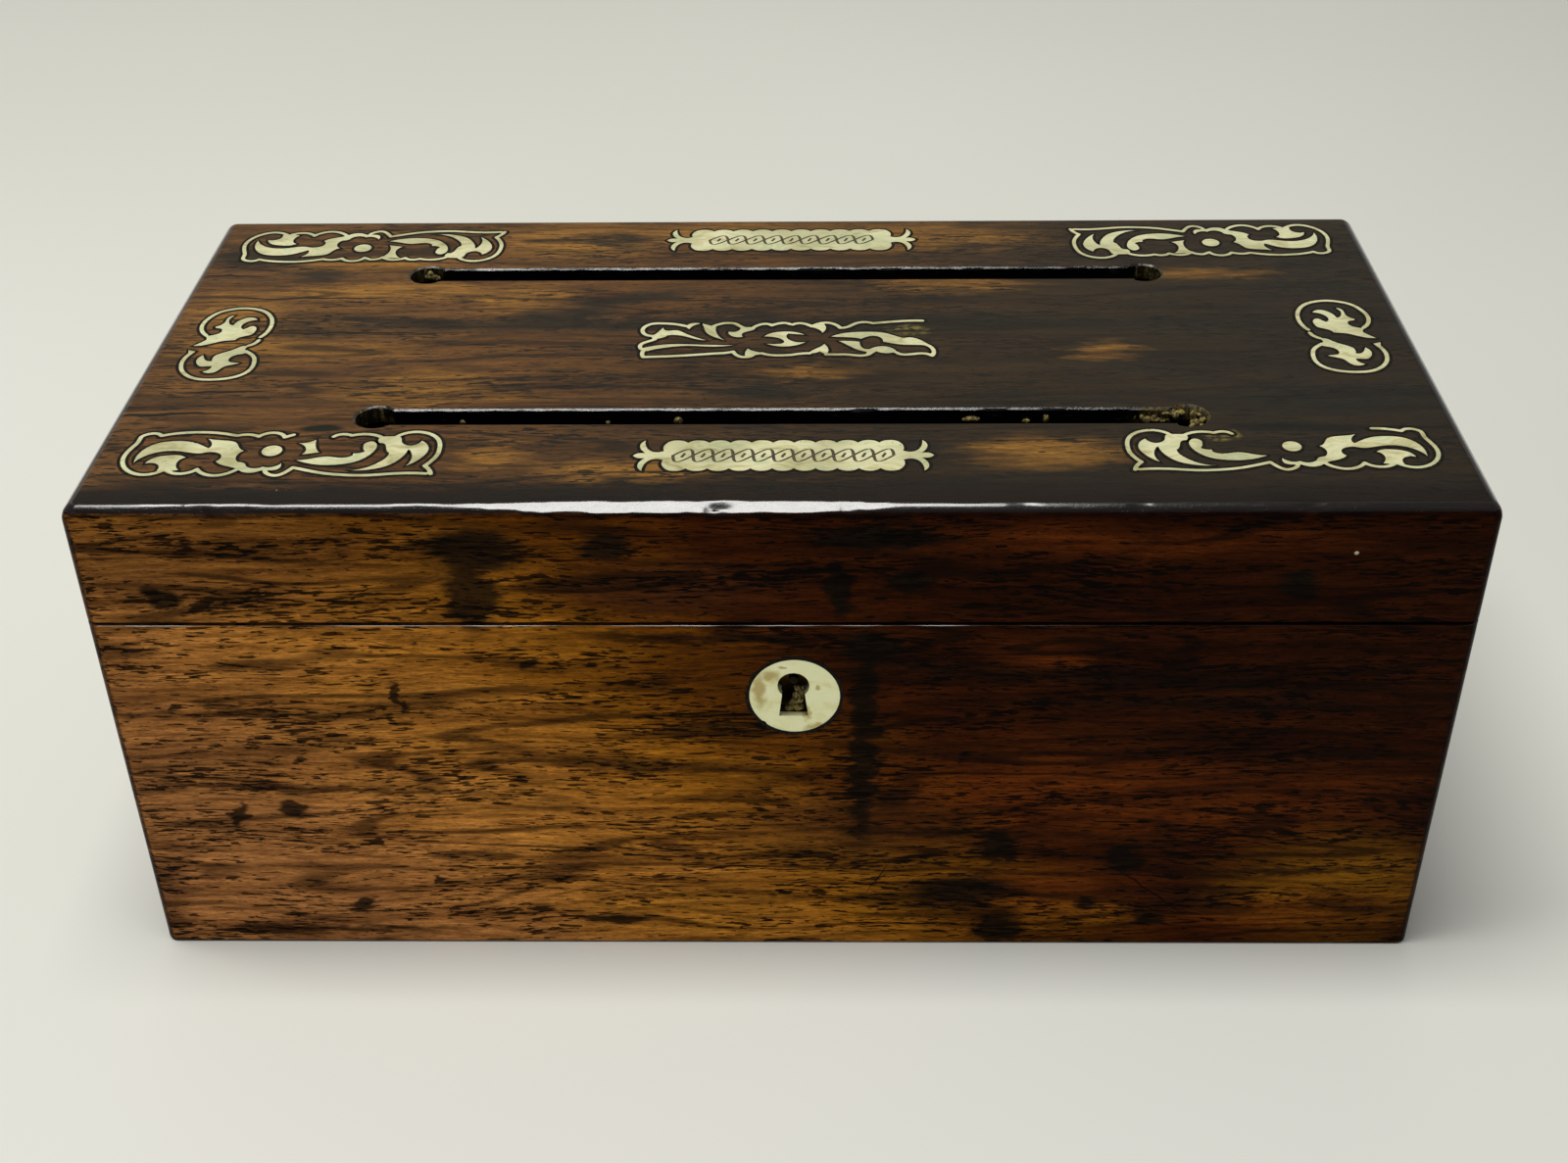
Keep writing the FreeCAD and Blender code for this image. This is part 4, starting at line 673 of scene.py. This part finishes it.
lid_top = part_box("lid_top_veneer")[1][2]
pearl_depth = 1.1 * MM
pearl_proud = 0.07 * MM
pearl_gap = 0.09 * MM
mastic_depth = 0.4 * MM
mastic_proud = 0.035 * MM
mastic_width = 0.5 * MM
for node in ("front_left_panel", "front_right_panel", "back_left_panel", "back_right_panel", "centre_panel",
             "left_scroll", "right_scroll", "front_label", "back_label"):
    shell_piece = picked_up(node, node + "_pearl")
    spread(shell_piece, -pearl_gap)
    set_levels(shell_piece, lid_top - pearl_depth, lid_top + pearl_proud)
    finished(shell_piece, pearl, "lid")
    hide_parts(node)
    bed = picked_up(node, node + "_mastic")
    spread(bed, mastic_width)
    set_levels(bed, lid_top - mastic_depth, lid_top + mastic_proud)
    finished(bed, mastic.material, "lid")


# Label engraving: a twisted ribbon of two strands cut into each of the two pearl labels and filled with
# black wax. It leans to the right, with a short stroke in every loop.
engraving = Finish("engraving_wax")
engraving_cloud = engraving.noise(engraving.place(), (0.6 * MM, 0.6 * MM, 0.6 * MM), 3)
engraving_colour = engraving.ramp(engraving_cloud, [(0.35, tint(34, 28, 20)), (0.65, tint(82, 70, 46))])
engraving.surface(Base_Color=engraving_colour, Roughness=0.6,
                  Normal=engraving.bump(engraving_cloud, 0.04 * MM, 0.5))


def stroke_path(name, paths, level):
    """Lays thin rounded strokes along flat paths, thick where they run down and thin where they rise."""
    bpy.ops.object.select_all(action="DESELECT")
    bpy.ops.curve.primitive_bezier_curve_add()
    strokes = bpy.context.object
    strokes.name = name
    strokes.data.dimensions = "3D"
    strokes.data.splines.clear()
    for path in paths:
        spline = strokes.data.splines.new("POLY")
        spline.points.add(len(path) - 1)
        for index, (x, y) in enumerate(path):
            before = path[max(0, index - 1)]
            after = path[min(len(path) - 1, index + 1)]
            run, rise = after[0] - before[0], after[1] - before[1]
            share = abs(rise) / (math.hypot(run, rise) + 0.001)
            spline.points[index].co = (x * MM, y * MM, level, 1)
            spline.points[index].radius = 0.55 + 0.75 * share ** 2
    strokes.data.bevel_depth = 0.22 * MM
    strokes.data.bevel_resolution = 1
    strokes.data.use_fill_caps = True
    bpy.ops.object.convert(target="MESH")
    bpy.ops.object.transform_apply()
    strokes = bpy.context.object
    for point in strokes.data.vertices:
        point.co.z = level + 0.5 * (point.co.z - level)
    return strokes


strand_sway = 2.1
slant = 0.45
strand_steps = 220
for node, half_run, crossings in (("front_label", 19, 11), ("back_label", 17, 9)):
    low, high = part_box(node)
    middle_x = (low[0] + high[0]) / 2 / MM
    middle_y = (low[1] + high[1]) / 2 / MM
    link_run = 2 * half_run / crossings
    paths = []
    for side in (-1, 1):
        paths.append([(half_run * (2 * t / strand_steps - 1),
                       side * strand_sway * math.sin(math.pi * crossings * t / strand_steps))
                      for t in range(strand_steps + 1)])
    for link in range(crossings):
        loop_x = -half_run + link_run * (link + 0.5)
        paths.append([(loop_x, 0.12 * t - 0.6) for t in range(11)])
    leaning = [[(middle_x + x + slant * y, middle_y + y) for x, y in path] for path in paths]
    engraved = stroke_path(node + "_engraving", leaning, lid_top + pearl_proud)
    finished(engraved, engraving.material, "lid")


# Escutcheon: a disc of bone-white mother-of-pearl let into the front round the keyhole, stained yellow
# at the left and bedded in the same dark mastic, which stands out all round it.
bone = Finish("pearl_escutcheon")
bone_place = bone.place()
bone_cloud = bone.noise(bone_place, (5 * MM, 5 * MM, 3 * MM), 4, 0.6, 0.8)
bone_colour = bone.ramp(bone_cloud, [
    (0.3, tint(236, 234, 172)), (0.5, tint(250, 250, 200)), (0.7, tint(254, 254, 210))])
stained = bone.spots(bone.bent(bone_place, (1.6 * MM, 1.6 * MM, 1.6 * MM), (2 * MM, 0, 2 * MM)), 1, [
    (-3.6, 61.5, 1, 3.4, 0), (-1.8, 64.8, 1.4, 1.2, 0), (6.8, 53.8, 2.4, 0.6, -0.3), (4.8, 56.5, 0.6, 1.4, 0),
    (6.8, 62, 0.5, 0.5, 0), (0.4, 66.4, 0.5, 0.3, 0)], 0.6)
bone_colour = bone.mix(bone.calc("MULTIPLY", stained, 0.75), bone_colour, tint(176, 146, 50))
bone_pores = bone.noise(bone_place, (0.5 * MM, 0.5 * MM, 0.5 * MM), 3)
bone_colour = bone.mix(bone.between(bone_pores, 0.66, 0.74, 0, 0.5), bone_colour, tint(120, 100, 60))
bone.surface(Base_Color=bone_colour, Roughness=0.42, Metallic=0.5, Coat_Weight=0.2, Coat_Roughness=0.2,
             Normal=bone.bump(bone_cloud, 0.03 * MM, 0.4))
dress(bone.material, "escutcheon")

front_face = -58 * MM
disc_radius = 8.0 * MM
disc_low, disc_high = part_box("escutcheon")
disc_middle = ((disc_low[0] + disc_high[0]) / 2, front_face, (disc_low[2] + disc_high[2]) / 2)
bpy.ops.object.select_all(action="DESELECT")
bpy.ops.mesh.primitive_circle_add(vertices=128, radius=disc_radius, location=disc_middle,
                                  rotation=(math.radians(90), 0, 0))
disc_bed = bpy.context.object
disc_bed.name = "escutcheon_mastic"
bpy.ops.object.transform_apply()
bpy.ops.object.mode_set(mode="EDIT")
bpy.ops.mesh.select_all(action="SELECT")
bpy.ops.mesh.extrude_edges_move()
bpy.ops.transform.resize(value=(1.07, 1, 1.07), center_override=disc_middle)
bpy.ops.object.mode_set(mode="OBJECT")
disc_dice = random.Random(5)
for point in disc_bed.data.vertices:
    spoke = point.co - Vector(disc_middle)
    if spoke.length > disc_radius + 0.3 * MM:
        point.co += spoke.normalized() * disc_dice.uniform(-0.12, 0.3) * MM
bed_depth = disc_bed.modifiers.new("bed_depth", "SOLIDIFY")
bed_depth.thickness = 0.12 * MM
bed_depth.offset = 0
bpy.ops.object.modifier_apply(modifier="bed_depth")
bpy.ops.object.mode_set(mode="EDIT")
bpy.ops.mesh.select_all(action="SELECT")
bpy.ops.mesh.normals_make_consistent(inside=False)
bpy.ops.object.mode_set(mode="OBJECT")
finished(disc_bed, mastic.material, "base")


# Broken wood and dirt: crumbs of the board choke the lower half of the keyhole, and splinters stand in
# the letter slots, mostly in the broken right end of the front one. All are stuck fast.
def crumbs(name, places, seed):
    """Rough lumps, each at its place with its three half sizes in millimetres, joined into one piece."""
    dice = random.Random(seed)
    lumps = []
    for place, half_sizes in places:
        bpy.ops.object.select_all(action="DESELECT")
        bpy.ops.mesh.primitive_ico_sphere_add(subdivisions=3, radius=MM)
        lump = bpy.context.object
        swells = [(Vector([dice.uniform(-1, 1) for axis in range(3)]).normalized(), dice.uniform(0.7, 1.3))
                  for swell in range(14)]
        for point in lump.data.vertices:
            facing = point.co.normalized()
            nearest = max(facing.dot(direction) * size for direction, size in swells)
            point.co *= 0.55 + 0.5 * nearest
            point.co = point.co * Vector(half_sizes) + Vector(place) * MM
        lumps.append(lump)
    for lump in lumps:
        lump.select_set(True)
    bpy.context.view_layer.objects.active = lumps[0]
    bpy.ops.object.join()
    lumps[0].name = name
    bpy.ops.object.shade_smooth_by_angle(angle=math.radians(35))
    return lumps[0]


broken_wood = Finish("broken_wood")
broken_place = broken_wood.place()
broken_fibre = broken_wood.noise(broken_place, (0.5 * MM, 0.5 * MM, 1.0 * MM), 5, 0.7)
broken_colour = broken_wood.ramp(broken_fibre, [
    (0.34, tint(20, 15, 7)), (0.48, tint(84, 68, 30)), (0.58, tint(158, 144, 72)), (0.72, tint(126, 94, 62))])
broken_wood.surface(Base_Color=broken_colour, Roughness=0.75,
                    Normal=broken_wood.bump(broken_fibre, 0.3 * MM, 0.7))
keyhole_dirt = crumbs("keyhole_dirt", [
    ((3.2, -56.2, 56.6), (1.3, 0.7, 0.8)), ((1.7, -56.2, 56.4), (0.8, 0.6, 0.6)),
    ((2.6, -56.0, 57.8), (0.9, 0.6, 0.9)), ((3.6, -56.2, 58.4), (0.7, 0.6, 1.0)),
    ((2.9, -56.0, 59.2), (0.7, 0.5, 0.9)), ((3.9, -56.1, 60.2), (0.7, 0.6, 0.9)),
    ((3.0, -55.9, 60.6), (0.6, 0.4, 0.6)), ((2.0, -56.0, 57.3), (0.6, 0.5, 0.5))], 21)
finished(keyhole_dirt, broken_wood.material, "base")
splinter_dice = random.Random(8)
splinter_places = [((-18.3, -24.9, 97.2), (0.8, 0.5, 0.7)), ((34.2, -24.9, 97.4), (1.6, 0.5, 0.5)),
                   ((-57.2, -24.9, 96.9), (0.5, 0.4, 0.5)), ((-31, -24.9, 96.8), (0.4, 0.3, 0.4)),
                   ((47.5, -24.9, 97.5), (0.5, 0.4, 0.9)), ((44, -24.9, 97.0), (0.7, 0.4, 0.5))]
for splinter in range(16):
    splinter_places.append(((splinter_dice.uniform(62.5, 75.3), splinter_dice.uniform(-24.9, -24.3),
                             splinter_dice.uniform(96.6, 98.6)),
                            (splinter_dice.uniform(0.5, 1.3), 0.6, splinter_dice.uniform(0.4, 0.9))))
for splinter in range(6):
    splinter_places.append(((splinter_dice.uniform(73, 75.6), splinter_dice.uniform(-28.5, -25),
                             splinter_dice.uniform(96.8, 98.6)), (0.6, 0.7, 0.7)))
    splinter_places.append(((splinter_dice.uniform(-74.5, -71), 33.8, splinter_dice.uniform(97, 98.4)),
                            (0.7, 0.5, 0.6)))
slot_splinters = crumbs("slot_splinters", splinter_places, 22)
finished(slot_splinters, broken_wood.material, "lid")


# Hinges, link plate and lock: the leaves, plates, pins and screws are brass gone brown in the corners.
# The lock's case, ward, bolt and spring are steel, and the pin that the key turns on is rusted.
def metal(name, colour, stain):
    """Old metal, brushed along its length, bright where the colour shows and duller in the stain."""
    sheet = Finish(name)
    where = sheet.place()
    tarnish = sheet.noise(where, (6 * MM, 6 * MM, 6 * MM), 5, 0.65)
    tone = sheet.ramp(tarnish, [(0.35, stain), (0.6, colour)])
    brushed = sheet.noise(where, (12 * MM, 0.3 * MM, 0.3 * MM), 3)
    lift = sheet.bump(brushed, 0.02 * MM, 0.3)
    rough = sheet.between(tarnish, 0.3, 0.7, 0.5, 0.28)
    return sheet.surface(Base_Color=tone, Metallic=1.0, Roughness=rough, Normal=lift)


brass = metal("old_brass", tint(196, 158, 86), tint(112, 80, 38))
steel = metal("lock_steel", tint(150, 148, 144), tint(82, 74, 66))
dress(brass, "left_hinge_base_leaf", "right_hinge_base_leaf", "left_hinge_lid_leaf", "right_hinge_lid_leaf",
      "left_hinge_pin", "right_hinge_pin", "hinge_base_screws", "hinge_lid_screws", "lock_plate",
      "lock_screws", "link_plate", "link_plate_screws")
dress(steel, "lock_case", "lock_ward", "lock_bolt", "lock_bolt_spring")
dress(metal("rusted_pin", tint(34, 26, 18), tint(12, 9, 7)), "lock_pin")


# Linings: dark blue-green marbled paper pasted into the two compartments and inside the lid. It ends
# just under the facings, and is cut away at the lock and at the letter slots.
lining = Finish("lining_paper")
lining_place = lining.place()
marbling = lining.noise(lining_place, (9 * MM, 9 * MM, 9 * MM), 6, 0.6, 2.5)
lining_colour = lining.ramp(marbling, [
    (0.35, tint(28, 40, 58)), (0.5, tint(52, 66, 84)), (0.62, tint(120, 110, 84))])
fibres = lining.noise(lining_place, (1.5 * MM, 1.5 * MM, 1.5 * MM), 3)
lining.surface(Base_Color=lining_colour, Roughness=0.85, Normal=lining.bump(fibres, 0.05 * MM, 0.4))
dress(lining.material, "front_compartment_lining", "back_compartment_lining", "lid_lining")
